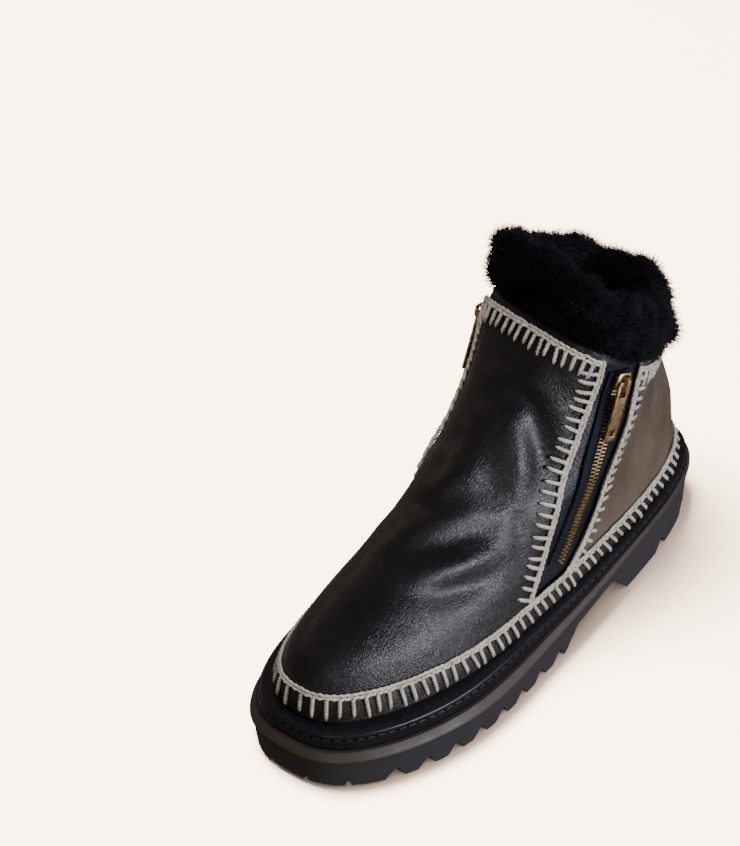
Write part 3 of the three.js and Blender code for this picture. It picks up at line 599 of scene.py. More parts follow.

# %% [markdown]
# Creases are what make leather look worn in. Each row of the table is one soft trough or ridge,
# placed by its start, middle and end in v and degrees. Its depth is in millimetres,
# negative for a ridge, and it fades at both ends.

# %% Creases of the panels
VAMP_CREASES = (
    # start, middle and end (v, degrees), width in mm, depth in mm
    ((0.86, 4), (0.835, 36), (0.67, 65), 6.0, 2.6),
    ((0.82, 22), (0.72, 46), (0.56, 60), 8.0, -1.5),
    ((0.53, -6), (0.57, 28), (0.55, 58), 6.0, 2.1),
    ((0.49, 20), (0.485, 48), (0.44, 70), 6.0, -1.3),
    ((0.8, 14), (0.7, 36), (0.61, 52), 7.0, 1.3),
    ((0.45, 28), (0.41, 50), (0.34, 72), 4.5, 0.7),
    ((0.584, -57), (0.67, -18), (0.745, 18), 5.5, -1.0),
    ((0.6, -44), (0.64, -6), (0.68, 30), 5.0, 1.2),
    ((0.845, -16), (0.862, 8), (0.875, 24), 5.0, 1.3),
    ((0.7, -52), (0.74, -30), (0.77, -8), 4.5, 1.0),
    ((0.9, 52), (0.86, 60), (0.78, 66), 3.5, 0.9),
    ((0.5, -56), (0.54, -40), (0.56, -22), 4.5, 0.9),
    ((0.6, 58), (0.53, 68), (0.44, 76), 4.0, 0.9),
    ((0.95, 10), (0.93, 26), (0.89, 38), 4.0, 0.6),
)
COUNTER_CREASES = (
    ((0.95, 122), (0.65, 126), (0.4, 124), 3.5, 1.0),
    ((0.97, 134), (0.7, 136), (0.45, 131), 3.0, 1.1),
    ((0.95, 146), (0.65, 143), (0.35, 144), 3.5, 1.1),
    ((0.93, 158), (0.7, 156), (0.45, 158), 3.5, 0.7),
    ((0.95, -124), (0.7, -128), (0.4, -124), 3.5, 1.0),
    ((0.93, -142), (0.65, -140), (0.35, -142), 4.0, 1.0),
    ((0.9, -164), (0.65, -160), (0.45, -162), 3.5, 0.7),
)


CREASE_STEPS, FADE_POWER = 24, 0.7
BANK_SHARE, BANK_AT = 0.3, 1.9  # the leather swells beside a trough, this many widths from it
WAVES, WAVE_SUM = 9, 4.5


def crease_relief(points, creases):
    """How far each point sinks, in millimetres, for a list of creases."""
    relief = np.zeros(points.shape[:-1])
    t = np.linspace(0, 1, CREASE_STEPS)
    weights = np.stack([(1 - t) * (1 - 2 * t), 4 * t * (1 - t), t * (2 * t - 1)])
    for start, middle, end, width, depth in creases:
        v, angle = np.array([start, middle, end]).T @ weights
        path = upper_at(v, np.radians(angle))
        near = np.linalg.norm(points[..., None, :] - path, axis=-1)
        fade = np.sin(math.pi * (0.04 + 0.92 * t[near.argmin(-1)])) ** FADE_POWER
        distance = near.min(-1) / width
        banks = BANK_SHARE * np.exp(-(distance - BANK_AT) ** 2)
        relief += depth * fade * (np.exp(-distance ** 2) - banks)
    return relief


def soft_lumps(points, size, seed):
    """A slow, smooth unevenness between -1 and 1, made of a few crossing waves."""
    random = np.random.default_rng(seed)
    total = np.zeros(points.shape[:-1])
    for _ in range(WAVES):
        way = unit(random.normal(size=3)) * (2 * math.pi / size) * random.uniform(0.7, 1.5)
        total += np.sin(points @ way + random.uniform(0, 2 * math.pi))
    return total / WAVE_SUM


print(len(VAMP_CREASES), "creases on the vamp,", len(COUNTER_CREASES), "on the counter")

# %% [markdown]
# A leather panel stands about 1.2 mm off the upper. It is made as a fine grid between its two edges,
# laid over the upper and pressed in by the creases. Solidify then gives it a thin back, since only
# its face shows. Towards its cut edges the leather is drawn down by the stitches.

# %% Leather panels
PANEL_BOTTOM = 0.134  # in v
UNDER_PANEL, SHEET = 1.7, 0.4  # how far the shell is pressed in under a panel, and the sheet's thickness
DRAWN_DOWN, DRAWN_WIDTH = 0.5, 1.6
LUMP_SIZE = 34


def make_panel(name, from_angles, to_angles, v, columns, creases, finish, lumps, seed):
    t = np.linspace(0, 1, columns)[None, :]
    angle = from_angles[:, None] * (1 - t) + to_angles[:, None] * t
    rows = np.repeat(v[:, None], columns, axis=1)
    points, out = upper_at(rows, angle), upper_out(rows, angle)
    left = np.linalg.norm(points - points[:, :1], axis=-1)
    right_way = np.linalg.norm(points - points[:, -1:], axis=-1)
    edge = np.minimum(left, right_way)
    drawn = DRAWN_DOWN * np.exp(-(edge / DRAWN_WIDTH) ** 2)
    swell = lumps * soft_lumps(points, LUMP_SIZE, seed)
    rise = GAP + PANEL - crease_relief(points, creases) + swell - drawn
    rise = np.maximum(rise, -UNDER_PANEL + SHEET + 0.2)
    sheet = new_object(name, grid_mesh(name, points + out * rise[..., None]), finish)
    thicken(sheet, SHEET, even=True)
    return freeze(sheet)


vamp_rows = np.linspace(PANEL_BOTTOM, 1, 150)
vamp = make_panel("vamp_panel", edge_angle(-1, VAMP_EDGE, vamp_rows), edge_angle(1, VAMP_EDGE, vamp_rows),
                  vamp_rows, 168, VAMP_CREASES, vamp_leather, 0.35, 3)
hand_over(vamp, "soft_leather", "vamp")
counter_rows = np.linspace(PANEL_BOTTOM, 1, 84)
counter = make_panel("counter_panel", edge_angle(1, COUNTER_EDGE, counter_rows),
                     2 * math.pi + edge_angle(-1, COUNTER_EDGE, counter_rows),
                     counter_rows, 150, COUNTER_CREASES, counter_leather, 0.3, 8)
hand_over(counter, "counter_leather", "counter")

# %% [markdown]
# The rand is the leather strip under the chain of crochet. It bulges a little between sole and
# chain, like a cord under tension.

# %% Rand
RAND_ROUND, RAND_BULGE = 300, 0.5
rand_v = np.linspace(0, RAND_TOP - 0.004, 12)
rand_angle = full_turn(RAND_ROUND)
rand_grid_v, rand_grid_angle = np.meshgrid(rand_v, rand_angle, indexing="ij")
rand_points = upper_at(rand_grid_v, rand_grid_angle)
rand_rise = GAP + PANEL + RAND_BULGE * np.sin(math.pi * rand_grid_v / RAND_TOP) - 0.2
rand_rise = rand_rise + 0.15 * soft_lumps(rand_points, 22, 5)
rand_points = rand_points + upper_out(rand_grid_v, rand_grid_angle) * rand_rise[..., None]
rand = new_object("rand_strip", grid_mesh("rand_strip", rand_points, closed_columns=True), rand_leather)
thicken(rand, 0.9)
rand = freeze(rand)
hand_over(rand, "rand_leather", "rand")

# %% [markdown]
# Under the panels lies the upper itself: one shell, leather outside and pile inside, which shows
# as the gusset between vamp and counter and as the lining in the collar. It is thinner under the
# panels, which leaves room for their creases.

# %% Upper shell
shell_v = np.linspace(0, 1, 50)
shell_angle = full_turn(200)
shell_grid = np.meshgrid(shell_v, shell_angle, indexing="ij")
shell_out = upper_out(*shell_grid)
vamp_side = edge_angle(1, VAMP_EDGE, shell_grid[0])
turned = np.where(shell_grid[1] > math.pi, 2 * math.pi - shell_grid[1], shell_grid[1])
counter_side = edge_angle(1, COUNTER_EDGE, shell_grid[0])
covered = np.maximum(vamp_side - turned, turned - counter_side)
within_edges = np.clip((covered - 0.05) / 0.1, 0, 1)
above_rand = np.clip((shell_grid[0] - 0.15) / 0.04, 0, 1)
pressed = UNDER_PANEL * within_edges * above_rand
shell_outer = upper_at(*shell_grid) - (0.02 + pressed)[..., None] * shell_out
shell_inner = (upper_at(*shell_grid) - UPPER_WALL * shell_out)[::-1]
shell_mesh = grid_mesh("upper_shell", np.concatenate([shell_outer, shell_inner]), closed_rows=True,
                       closed_columns=True)
shell = new_object("upper_shell", shell_mesh, gusset_leather, lining_finish)
row_of_face = np.arange(len(shell_mesh.polygons)) // len(shell_angle)
shell_mesh.polygons.foreach_set("material_index", (row_of_face >= len(shell_v)).astype(np.int32))
hand_over(shell, "soft_leather", "upper")

# %% [markdown]
# The sole is a stack: tread, glossy band and welt. Each is a set of rings round the same plan,
# moved in and up by a small table. More rows than the hard model has give the beads and grooves
# their roundness.

# %% Sole rings
SOLE_HALF_LENGTH = 143
SOLE_HALVES, SOLE_MIDDLES = (46.5, 45, 47.5, 54.3, 52.3), (0.5, 0.4, 1.2, -1.3, -6.7)
SOLE_ROUNDS = (2.7, 2.8)  # heel, toe
SOLE_POINTS = 280
sole_angle = full_turn(SOLE_POINTS)
sole_round = np.where(np.cos(sole_angle) > 0, SOLE_ROUNDS[1], SOLE_ROUNDS[0])
sole_c, sole_s = power(np.cos(sole_angle), sole_round), power(np.sin(sole_angle), sole_round)
sole_plan = np.stack([SOLE_HALF_LENGTH * sole_c, along(STATIONS, SOLE_MIDDLES, sole_c)
                      + along(STATIONS, SOLE_HALVES, sole_c) * sole_s + SIDE_SHIFT], -1)
plan_way = unit(np.roll(sole_plan, -1, axis=0) - np.roll(sole_plan, 1, axis=0))
plan_out = np.stack([plan_way[:, 1], -plan_way[:, 0]], -1)


def sole_ring(out, up, air=0.0, scaled=True):
    """A ring at a distance from the ledge's edge and a height over it, scaled with the stack."""
    scale = stack_at(sole_plan[:, 0]) if scaled else 1.0
    flat = sole_plan + plan_out * (out * scale + np.zeros(SOLE_POINTS))[:, None]
    height = ledge_at(flat[:, 0]) + up * (stack_at(flat[:, 0]) if scaled else 1.0) + air
    return np.column_stack([flat, height])


def capped_loft(name, rings, *finishes):
    """A closed body through rings, with a flat cap at each end."""
    count = len(rings[0])
    last = (len(rings) - 1) * count
    sides = grid_mesh(name, np.array(rings), closed_columns=True)
    faces = [list(polygon.vertices) for polygon in sides.polygons]
    faces += [list(range(count))[::-1], list(range(last, last + count))]
    bpy.data.meshes.remove(sides)
    mesh = bpy.data.meshes.new(name)
    mesh.from_pydata((np.array(rings).reshape(-1, 3) * MM).tolist(), [], faces)
    return new_object(name, mesh, *finishes)


def smooth_sides(piece, degrees=35):
    """Smooth shading that stays crisp at edges sharper than an angle."""
    piece.data.polygons.foreach_set("use_smooth", np.ones(len(piece.data.polygons), bool))
    piece.data.set_sharp_from_angle(angle=math.radians(degrees))
    piece.data.update()


MIDSOLE_ROWS = ((-4.8, 4.4), (-4.3, 4.9), (-4.0, 5.6), (-4.15, 6.6), (-4.3, 7.4), (-4.15, 8.2),
                (-4.0, 8.9), (-4.2, 9.5), (-4.9, 10))
midsole = capped_loft("midsole_band", [sole_ring(out, up, GAP) for out, up in MIDSOLE_ROWS], band_rubber)
smooth_sides(midsole)
hand_over(midsole, "gloss_rubber", "midsole")

WELT_ROWS = ((-5.3, 10), (-4.75, 10.25), (-4.4, 10.8), (-4.3, 11.4), (-4.35, 12.1), (-4.6, 12.7),
             (-5.2, 13.2), (-6.0, 13.5), (-6.6, 13.6))
WELT_LAP = 5.5
welt_rings = [sole_ring(out, up, 2 * GAP) for out, up in WELT_ROWS]
for up in (WELT_TOP, 10):
    lap = -(10 * stack_at(sole_plan[:, 0]) + WELT_LAP)
    flat = sole_plan + plan_out * lap[:, None]
    welt_rings.append(np.column_stack([flat, ledge_at(flat[:, 0]) + up * stack_at(flat[:, 0]) + 2 * GAP]))
welt = new_object("welt_bead", grid_mesh("welt_bead", np.array(welt_rings), closed_rows=True,
                                         closed_columns=True), welt_rubber)
smooth_sides(welt)
hand_over(welt, "gloss_rubber", "welt")

# %% [markdown]
# The tread starts as such a stack too. Then cutters take out the grooves, the arch and the notches
# at the toe, as a mould would leave them, and a small bevel rounds every edge that is left.

# %% Tread
TREAD_FOOT, TREAD_EDGE = -3.0, (-1.2, -1.4)
RIM_ROWS = ((-0.35, -0.5), (0, 0), (0, 0.7), (-0.4, 1.4), (-1.4, 2.9), (-2.6, 4.4))
RIM_FROM = 2  # rings under the rim
GROOVES = [15.8 * i for i in range(8)] + [-94, -123]
GROOVE = {"toe_side": 5, "heel_side": 4.5, "depth": 6.2, "floor": 0.8}
ARCH = ((-5.5, -1), (-5.5, 0), (-15, 12.5), (-46, 17.5), (-61, 0), (-61, -1))
TOE_NOTCHES = ((133, 26, 50), (143, 5, 8), (142, -16, -12), (132, -36, -50))  # x, y, turn
NOTCH = {"length": 16, "half_width": 3, "depth": 7}
CHANNEL = {"from": 4, "to": 112, "half_width": 3, "depth": 4.5, "turn": -2, "y": 1.2}


def lift_at(x):
    return np.maximum(along(SOLE_PLACES, TREAD_LIFTS, x), 0)


def side_cutter(outline, half_depth=150.0):
    """A cutter with a side view outline in x and z, which reaches right through the sole."""
    count = len(outline)
    points = [(x * MM, y * MM, z * MM) for y in (-half_depth, half_depth) for x, z in outline]
    faces = [list(range(count)), list(range(count, 2 * count))[::-1]]
    faces += [[i, i + count, (i + 1) % count + count, (i + 1) % count] for i in range(count)]
    mesh = bpy.data.meshes.new("cutter")
    mesh.from_pydata(points, [], faces)
    return new_object("cutter", mesh)


def groove_outline(x):
    toe, heel, floor = x + GROOVE["toe_side"], x - GROOVE["heel_side"], GROOVE["floor"]
    lift = {place: float(lift_at(np.array([place]))[0]) for place in (toe, x, heel)}
    return ((toe, -1), (toe, lift[toe]), (x + floor, lift[x] + GROOVE["depth"]),
            (x - floor, lift[x] + GROOVE["depth"]), (heel, lift[heel]), (heel, -1))


foot_ring = sole_ring(TREAD_FOOT, 0, scaled=False)
foot_ring[:, 2] = lift_at(foot_ring[:, 0])
tread_rings = [foot_ring, sole_ring(*TREAD_EDGE, scaled=False)]
tread_rings += [sole_ring(out, up) for out, up in RIM_ROWS]
tread = capped_loft("tread", tread_rings, tread_rubber, rim_rubber)
face_row = np.arange(len(tread.data.polygons)) // SOLE_POINTS
rim_faces = (face_row >= RIM_FROM) & (face_row < len(tread_rings) - 1)
tread.data.polygons.foreach_set("material_index", rim_faces.astype(np.int32))

cutters = [side_cutter(ARCH)] + [side_cutter(groove_outline(x)) for x in GROOVES]
for x, y, notch_turn in TOE_NOTCHES:
    w, d = NOTCH["half_width"], NOTCH["depth"]
    cutter = side_cutter(((w, -1), (0, d), (-w, -1)), NOTCH["length"] / 2)
    cutter.matrix_world = (Matrix.Translation((x * MM, (y + SIDE_SHIFT) * MM, 0))
                           @ Matrix.Rotation(math.pi / 2 + math.radians(notch_turn), 4, "Z"))
    cutters.append(cutter)
channel_length = CHANNEL["to"] - CHANNEL["from"]
channel_top = CHANNEL["depth"]
channel = side_cutter(((channel_length, -channel_top), (channel_length, channel_top), (0, channel_top),
                       (0, -channel_top)), CHANNEL["half_width"])
channel.matrix_world = (Matrix.Translation((CHANNEL["from"] * MM, (CHANNEL["y"] + SIDE_SHIFT) * MM, 0))
                        @ Matrix.Rotation(math.radians(CHANNEL["turn"]), 4, "Z"))
cutters.append(channel)
for cutter in cutters:
    cut = tread.modifiers.new("cut", "BOOLEAN")
    cut.operation, cut.object, cut.solver = "DIFFERENCE", cutter, "EXACT"
round_edges(tread, 0.45, 38)
tread = freeze(tread)
for cutter in cutters:
    bpy.data.objects.remove(cutter)
smooth_sides(tread, 30)
hand_over(tread, "tread_rubber", "outsole")

# %% [markdown]
# Crochet edging has two parts: a chain of stitches that lies along the edge, and bars that reach
# from it over the leather. Both are lengths of the same yarn. The script lays the centre line of
# each length as a spline, and one geometry tree spins yarn round all of them: a three-lobed
# section, twisted as it runs.

# %% A tree that spins yarn
def make_yarn_tree():
    tree, source, end = start_tree("spin_yarn", Yarn_Radius=0.0008, Step=0.0015, Twist_Length=0.006,
                                   Material="")
    radius = source.outputs["Yarn Radius"]
    section = add_node(tree, "GeometryNodeCurveStar", Points=3, Outer_Radius=radius,
                       Inner_Radius=math_node(tree, "MULTIPLY", radius, 0.84), Twist=0.0)
    even = add_node(tree, "GeometryNodeResampleCurve", {"mode": "LENGTH"},
                    Curve=source.outputs["Geometry"], Length=source.outputs["Step"])
    run = tree.nodes.new("GeometryNodeSplineParameter").outputs["Length"]
    turns = math_node(tree, "DIVIDE", run, source.outputs["Twist Length"])
    twisted = add_node(tree, "GeometryNodeSetCurveTilt", Curve=even.outputs[0],
                       Tilt=math_node(tree, "MULTIPLY", turns, 2 * math.pi))
    thick = tree.nodes.new("GeometryNodeInputRadius").outputs[0]
    yarn = add_node(tree, "GeometryNodeCurveToMesh", Curve=twisted.outputs[0],
                    Profile_Curve=section.outputs[0], Scale=thick, Fill_Caps=True)
    end(yarn.outputs[0])
    return tree


yarn_tree = make_yarn_tree()


def spin(name, lines, radius, step, twist):
    """Yarn round a list of lines. A line is (points in mm, thickness at each point)."""
    curve = bpy.data.curves.new(name, "CURVE")
    curve.dimensions = "3D"
    for points, thickness in lines:
        spline = curve.splines.new("POLY")
        spline.points.add(len(points) - 1)
        flat = np.column_stack([np.asarray(points) * MM, np.ones(len(points))])
        spline.points.foreach_set("co", flat.ravel())
        spline.points.foreach_set("radius", np.asarray(thickness, float))
    thing = bpy.data.objects.new(name, curve)
    bpy.context.collection.objects.link(thing)
    set_input(thing, yarn_tree, Yarn_Radius=radius * MM, Step=step * MM, Twist_Length=twist * MM,
              Material=yarn_finish)
    return freeze(thing)


print("yarn tree has", len(yarn_tree.nodes), "nodes")

# %% [markdown]
# A path for the edging is a list of places on the upper. From it come evenly spaced stations, each
# with the way along the edge, the way across it and the way out of the boot. A chain stitch is
# a pair of strands that spread like a V and tuck under the next pair.

# %% Chain stitches
SEAM_HEIGHT = PANEL + 2 * GAP


def stations(v, angle, pitch, closed=False, start=0.0):
    """Evenly spaced places on a path, with directions along, across and out."""
    points = upper_at(v, angle)
    if closed:
        points = np.vstack([points, points[:1]])
        v, angle = np.append(v, v[0]), np.append(angle, angle[0] + 2 * math.pi)
    run = even_path(points)
    count = max(int(round((run[-1] - start) / pitch)), 2)
    places = start + (run[-1] - start) * (np.arange(count) if closed else np.arange(count + 1)) / count
    v, angle = np.interp(places, run, v), np.interp(places, run, angle)
    centre, out = upper_at(v, angle), upper_out(v, angle)
    way = unit(points_at(places + 1, run, points) - points_at(places - 1, run, points))
    across = unit(np.cross(out, way))
    return {"centre": centre, "out": out, "way": way, "across": across, "v": v, "angle": angle,
            "step": (run[-1] - start) / count}


STRAND = (
    # share of a stitch along, mm across, mm out, thickness
    (-0.45, 0.15, 0.1, 0.7),
    (0.1, 0.7, 0.6, 1),
    (0.6, 1.0, 0.75, 1.05),
    (1.0, 0.75, 0.45, 0.9),
    (1.25, 0.3, 0.1, 0.6),
)
STRAND_SPREAD, STRAND_WOBBLE = 1.05, 0.09
BAR_LEAN, BAR_LIFT = 0.05, 0.35  # how unevenly the bars stand, in radians, and mm over the leather
BAR = (
    # share of its length, mm out, thickness
    (0, 0.55, 1),
    (0.2, 0.75, 1),
    (0.5, 0.75, 1),
    (0.8, 0.7, 1),
    (0.95, 0.55, 0.9),
    (1, 0.1, 0.55),
)


def chain_lines(spots, seed):
    """The strands of a chain: two for each stitch."""
    random = np.random.default_rng(seed)
    lines = []
    for i in range(len(spots["centre"])):
        for hand in (1, -1):
            wobble = random.normal(0, STRAND_WOBBLE, 3)
            points = [spots["centre"][i] + spots["way"][i] * (t * spots["step"])
                      + spots["across"][i] * (hand * (across * STRAND_SPREAD + wobble[0]) + wobble[1])
                      + spots["out"][i] * (SEAM_HEIGHT + rise + wobble[2] * 0.5)
                      for t, across, rise, _ in STRAND]
            lines.append((points, [row[3] for row in STRAND]))
    return lines


def bar_lines(spots, side, length, seed, slant=0.0, skip=()):
    """Bars from the chain over the leather. side says which way across, slant leans them along it."""
    random = np.random.default_rng(seed)
    keep = [i for i in range(len(spots["centre"])) if i not in skip]
    angle = spots["angle"][keep]
    reach = np.broadcast_to(length(angle) if callable(length) else length, angle.shape)
    reach = reach * random.uniform(0.9, 1.08, len(keep))
    tilt = slant(angle) if callable(slant) else slant
    tilt = tilt + random.normal(0, BAR_LEAN, len(keep))
    way = (spots["across"][keep] * (side * np.cos(tilt))[:, None]
           + spots["way"][keep] * np.sin(tilt)[:, None])
    t, rise, thickness = np.array(BAR).T
    rise = rise + GAP + PANEL + BAR_LIFT
    flat = spots["centre"][keep][:, None] + way[:, None] * (0.5 + reach[:, None] * t)[..., None]
    v, angle = (np.repeat(spots[key][keep][:, None], len(t), axis=1) for key in ("v", "angle"))
    seat, out = nearest_on_upper(flat, v, angle)
    return [(points, thickness) for points in seat + out * rise[None, :, None]]


def nearest_on_upper(points, v, angle):
    """The upper's points and outward directions closest to points near the places (v, angle)."""
    for _ in range(6):
        here = upper_at(v, angle)
        higher, lower = np.clip(v + TINY, 0, 1), np.clip(v - TINY, 0, 1)
        by_v = (upper_at(higher, angle) - upper_at(lower, angle)) / (2 * TINY)
        by_angle = (upper_at(v, angle + TINY) - upper_at(v, angle - TINY)) / (2 * TINY)
        miss = points - here
        vv, aa, va = (by_v ** 2).sum(-1), (by_angle ** 2).sum(-1), (by_v * by_angle).sum(-1)
        mv, ma = (miss * by_v).sum(-1), (miss * by_angle).sum(-1)
        area = np.maximum(vv * aa - va * va, 1e-6)
        v = np.clip(v + (mv * aa - ma * va) / area * 0.9, 0.0, 1.0)
        angle = angle + (ma * vv - mv * va) / area * 0.9
    return upper_at(v, angle), upper_out(v, angle)


CHAIN_PITCH = 3.0


def lay_chain(name, spots, seed, node):
    """A chain of yarn, which stands for a piece of the hard model."""
    hand_over(spin(name, chain_lines(spots, seed), 0.8, 1.0, 5), "yarn", node)


def lay_bars(name, lines):
    hand_over(spin(name, lines, 1.2, 1.6, 5), "yarn")


print(len(STRAND), "points on a strand,", len(BAR), "on a bar")

# %% [markdown]
# The light yarn runs round the whole foot as a chain of loops, and a short bar hangs from it over the
# rand at each stitch. It could be drawn as a texture on the leather. Here each strand is a real tube,
# because the bars catch the light and throw small shadows.

# %% Crochet on the rand
PATH_STEPS = 400
ring_angle = full_turn(PATH_STEPS)
rand_path_v = np.full(PATH_STEPS, RAND_TOP)
rand_chain = stations(rand_path_v, ring_angle, CHAIN_PITCH, closed=True)
rand_bars = stations(rand_path_v, ring_angle, 5.7, closed=True, start=2.0)
rand_lines = bar_lines(rand_bars, -1, lambda angle: 9.5 + 2.0 * np.cos(angle), 11,
                       slant=lambda angle: np.sin(angle) * (0.4 - 0.28 * np.cos(angle)))
lay_bars("crochet_rand_bars", rand_lines)
lay_chain("crochet_rand_chain", rand_chain, 12, "edging_rand")

# %% [markdown]
# On the vamp the edging runs up one side, turns at the corner, crosses the top and comes down the
# other side. The bars point into the vamp. At each top corner one bar from the side and one from
# the top meet and close a square.

# %% Crochet on the vamp
EDGE_FOOT_V, CORNER_V, COUNTER_TOP_V = 0.128, 0.982, 0.975
TOP_STEPS, BACK_STEPS = 120, 60
outer_v, outer_angle = edge_places(1, VAMP_EDGE, EDGE_FOOT_V, CORNER_V)
inner_v, inner_angle = edge_places(-1, VAMP_EDGE, EDGE_FOOT_V, CORNER_V)
top_angles = np.linspace(outer_angle[-1], inner_angle[-1], TOP_STEPS)
top_vs = np.full(TOP_STEPS, CORNER_V)
vamp_path_v = np.concatenate([outer_v, top_vs[1:-1], inner_v[::-1]])
vamp_path_angle = np.concatenate([outer_angle, top_angles[1:-1], inner_angle[::-1]])
vamp_chain = stations(vamp_path_v, vamp_path_angle, CHAIN_PITCH)
lay_chain("crochet_vamp_chain", vamp_chain, 13, "edging_vamp")

outer_bars = stations(outer_v, outer_angle, 5.3, start=3.0)
inner_bars = stations(inner_v[::-1], inner_angle[::-1], 5.3, start=0.0)
top_bars = stations(top_vs, top_angles, 4.3)
last_outer = len(outer_bars["centre"]) - 1
last_top = len(top_bars["centre"]) - 1
vamp_bar_lines = bar_lines(outer_bars, 1, 9.6, 14, slant=0.1, skip=(last_outer,))
vamp_bar_lines += bar_lines(inner_bars, 1, 9.0, 15, slant=0.45, skip=(0,))
vamp_bar_lines += bar_lines(top_bars, 1, 8.6, 16, slant=-0.06, skip=(0, last_top))
lay_bars("crochet_vamp_bars", vamp_bar_lines)

# %% [markdown]
# The counter has the same chain on both front edges and along its top, under the fur. Its bars point
# back, over the leather.

# %% Crochet on the counter
for side, word in SIDES:
    front_v, front_angle = edge_places(side, COUNTER_EDGE, EDGE_FOOT_V, COUNTER_TOP_V)
    back_angle = np.linspace(front_angle[-1], side * math.pi * 0.99, BACK_STEPS)
    path_v = np.concatenate([front_v, np.full(BACK_STEPS - 1, COUNTER_TOP_V)])
    path_angle = np.concatenate([front_angle, back_angle[1:]])
    chain = stations(path_v, path_angle, CHAIN_PITCH)
    lay_chain("crochet_counter_chain_" + word, chain, 20 + side, "edging_counter_" + word)
    front_bars = stations(front_v, front_angle, 5.2, start=3.0)
    last = len(front_bars["centre"]) - 1
    lines = bar_lines(front_bars, -side, 7.4, 30 + side, slant=0.15, skip=(last,))
    back_bars = stations(np.full(BACK_STEPS, COUNTER_TOP_V), back_angle, 5.0)
    lines += bar_lines(back_bars, -side, 8.0, 40 + side, skip=(0,))
    lay_bars("crochet_counter_bars_" + word, lines)

# %% [markdown]
# Each zip has two rows of brass teeth that lock into each other. One tooth is a rounded bar with
# a few dozen faces; the tree sets it at every point of the path, turned by the directions stored
# on that point. Every other point carries a tooth to the other side.

# %% A tree that sets teeth or stitches
def make_setting_tree():
    tree, source, end = start_tree("set_along_path", Length=0.0027, Width=0.0011, Height=0.0014,
                                   Rounding=0.0003, Material="")
    section = add_node(tree, "GeometryNodeCurvePrimitiveQuadrilateral", Width=source.outputs["Width"],
                       Height=source.outputs["Height"])
    soft = add_node(tree, "GeometryNodeFilletCurve", {"mode": "POLY"}, Curve=section.outputs[0],
                    Count=2, Radius=source.outputs["Rounding"])
    half = math_node(tree, "MULTIPLY", source.outputs["Length"], 0.5)
    tip = add_node(tree, "ShaderNodeCombineXYZ", X=half)
    tail = add_node(tree, "ShaderNodeCombineXYZ", X=math_node(tree, "MULTIPLY", half, -1.0))
    line = add_node(tree, "GeometryNodeCurvePrimitiveLine", Start=tail.outputs[0], End=tip.outputs[0])
    bar = add_node(tree, "GeometryNodeCurveToMesh", Curve=line.outputs[0], Profile_Curve=soft.outputs[0],
                   Fill_Caps=True)
    across = add_node(tree, "GeometryNodeInputNamedAttribute", {"data_type": "FLOAT_VECTOR"}, Name="across")
    out = add_node(tree, "GeometryNodeInputNamedAttribute", {"data_type": "FLOAT_VECTOR"}, Name="out")
    aim = add_node(tree, "FunctionNodeAlignRotationToVector", {"axis": "Z"}, Vector=out.outputs[0])
    roll = add_node(tree, "FunctionNodeAlignRotationToVector", {"axis": "X", "pivot_axis": "Z"},
                    Rotation=aim.outputs[0], Vector=across.outputs[0])
    set_on = add_node(tree, "GeometryNodeInstanceOnPoints", Points=source.outputs["Geometry"],
                      Instance=bar.outputs[0], Rotation=roll.outputs[0])
    end(set_on.outputs[0])
    return tree


setting_tree = make_setting_tree()


def set_along(name, points, across, out, finish, **sizes):
    """A bar at each point, its length across and its top out."""
    mesh = bpy.data.meshes.new(name)
    mesh.from_pydata((np.asarray(points) * MM).tolist(), [], [])
    for key, vectors in (("across", across), ("out", out)):
        layer = mesh.attributes.new(key, "FLOAT_VECTOR", "POINT")
        layer.data.foreach_set("vector", np.asarray(vectors, float).ravel())
    thing = new_object(name, mesh)
    set_input(thing, setting_tree, Material=finish, **{key: value * MM for key, value in sizes.items()})
    return freeze(thing)


print("setting tree has", len(setting_tree.nodes), "nodes")

# %% [markdown]
# A metal zip is a row of small teeth clamped to two cloth tapes. The tree sets its tooth along the tape
# at an even pitch. An array modifier on a curve would do as well, but the nodes also turn each tooth
# to face away from the boot.

# %% Zip teeth and tapes
TOOTH_PITCH, TOOTH_ASIDE, TOOTH_RISE = 1.9, 1.35, 1.9
ZIP_SPAN = (52.5, 138.5)  # in z
for side, word in SIDES:
    zip_v = np.linspace(0.1, 0.99, 400)
    zip_angle = edge_angle(side, ZIP_LINE, zip_v)
    height = upper_at(zip_v, zip_angle)[:, 2]
    inside = (height > ZIP_SPAN[0]) & (height < ZIP_SPAN[1])
    teeth = stations(zip_v[inside], zip_angle[inside], TOOTH_PITCH / 2)
    hand = np.where(np.arange(len(teeth["centre"])) % 2, 1.0, -1.0)[:, None]
    places = teeth["centre"] + teeth["across"] * hand * TOOTH_ASIDE + teeth["out"] * TOOTH_RISE
    row = set_along("zip_teeth_" + word, places, teeth["across"], teeth["out"], old_brass,
                    Length=3.1, Width=1.15, Height=1.4, Rounding=0.28)
    hand_over(row, "brass", "zip_chain_" + word)
    refinish(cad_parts["zip_tape_" + word], tape_cloth)

# %% [markdown]
# The sliders and pull tabs are right as they are in the hard model, but too sharp: cast brass has
# rounded edges that catch the light. A copy of each is merged and bevelled, and stands for it.

# %% Sliders and pull tabs
def soften(name, node, width, body):
    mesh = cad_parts[node].data.copy()
    mesh.materials.clear()
    copy = new_object(name, mesh, old_brass)
    weld = copy.modifiers.new("weld", "WELD")
    weld.merge_threshold = 0.00001
    flat = copy.modifiers.new("flat", "DECIMATE")
    flat.decimate_type, flat.angle_limit = "DISSOLVE", math.radians(2)
    round_edges(copy, width, 30)
    copy = freeze(copy)
    smooth_sides(copy, 40)
    hand_over(copy, "brass", node, body=body)


for _, word in SIDES:
    soften("brass_slider_" + word, "slider_" + word, 0.35, "boot")
    soften("brass_pull_" + word, "pull_tab_" + word, 0.3, "pull_" + word)

# %% [markdown]
# A row of short stitches lies in the groove between welt and band and holds the stack together.
# The same tree that sets the teeth sets them.

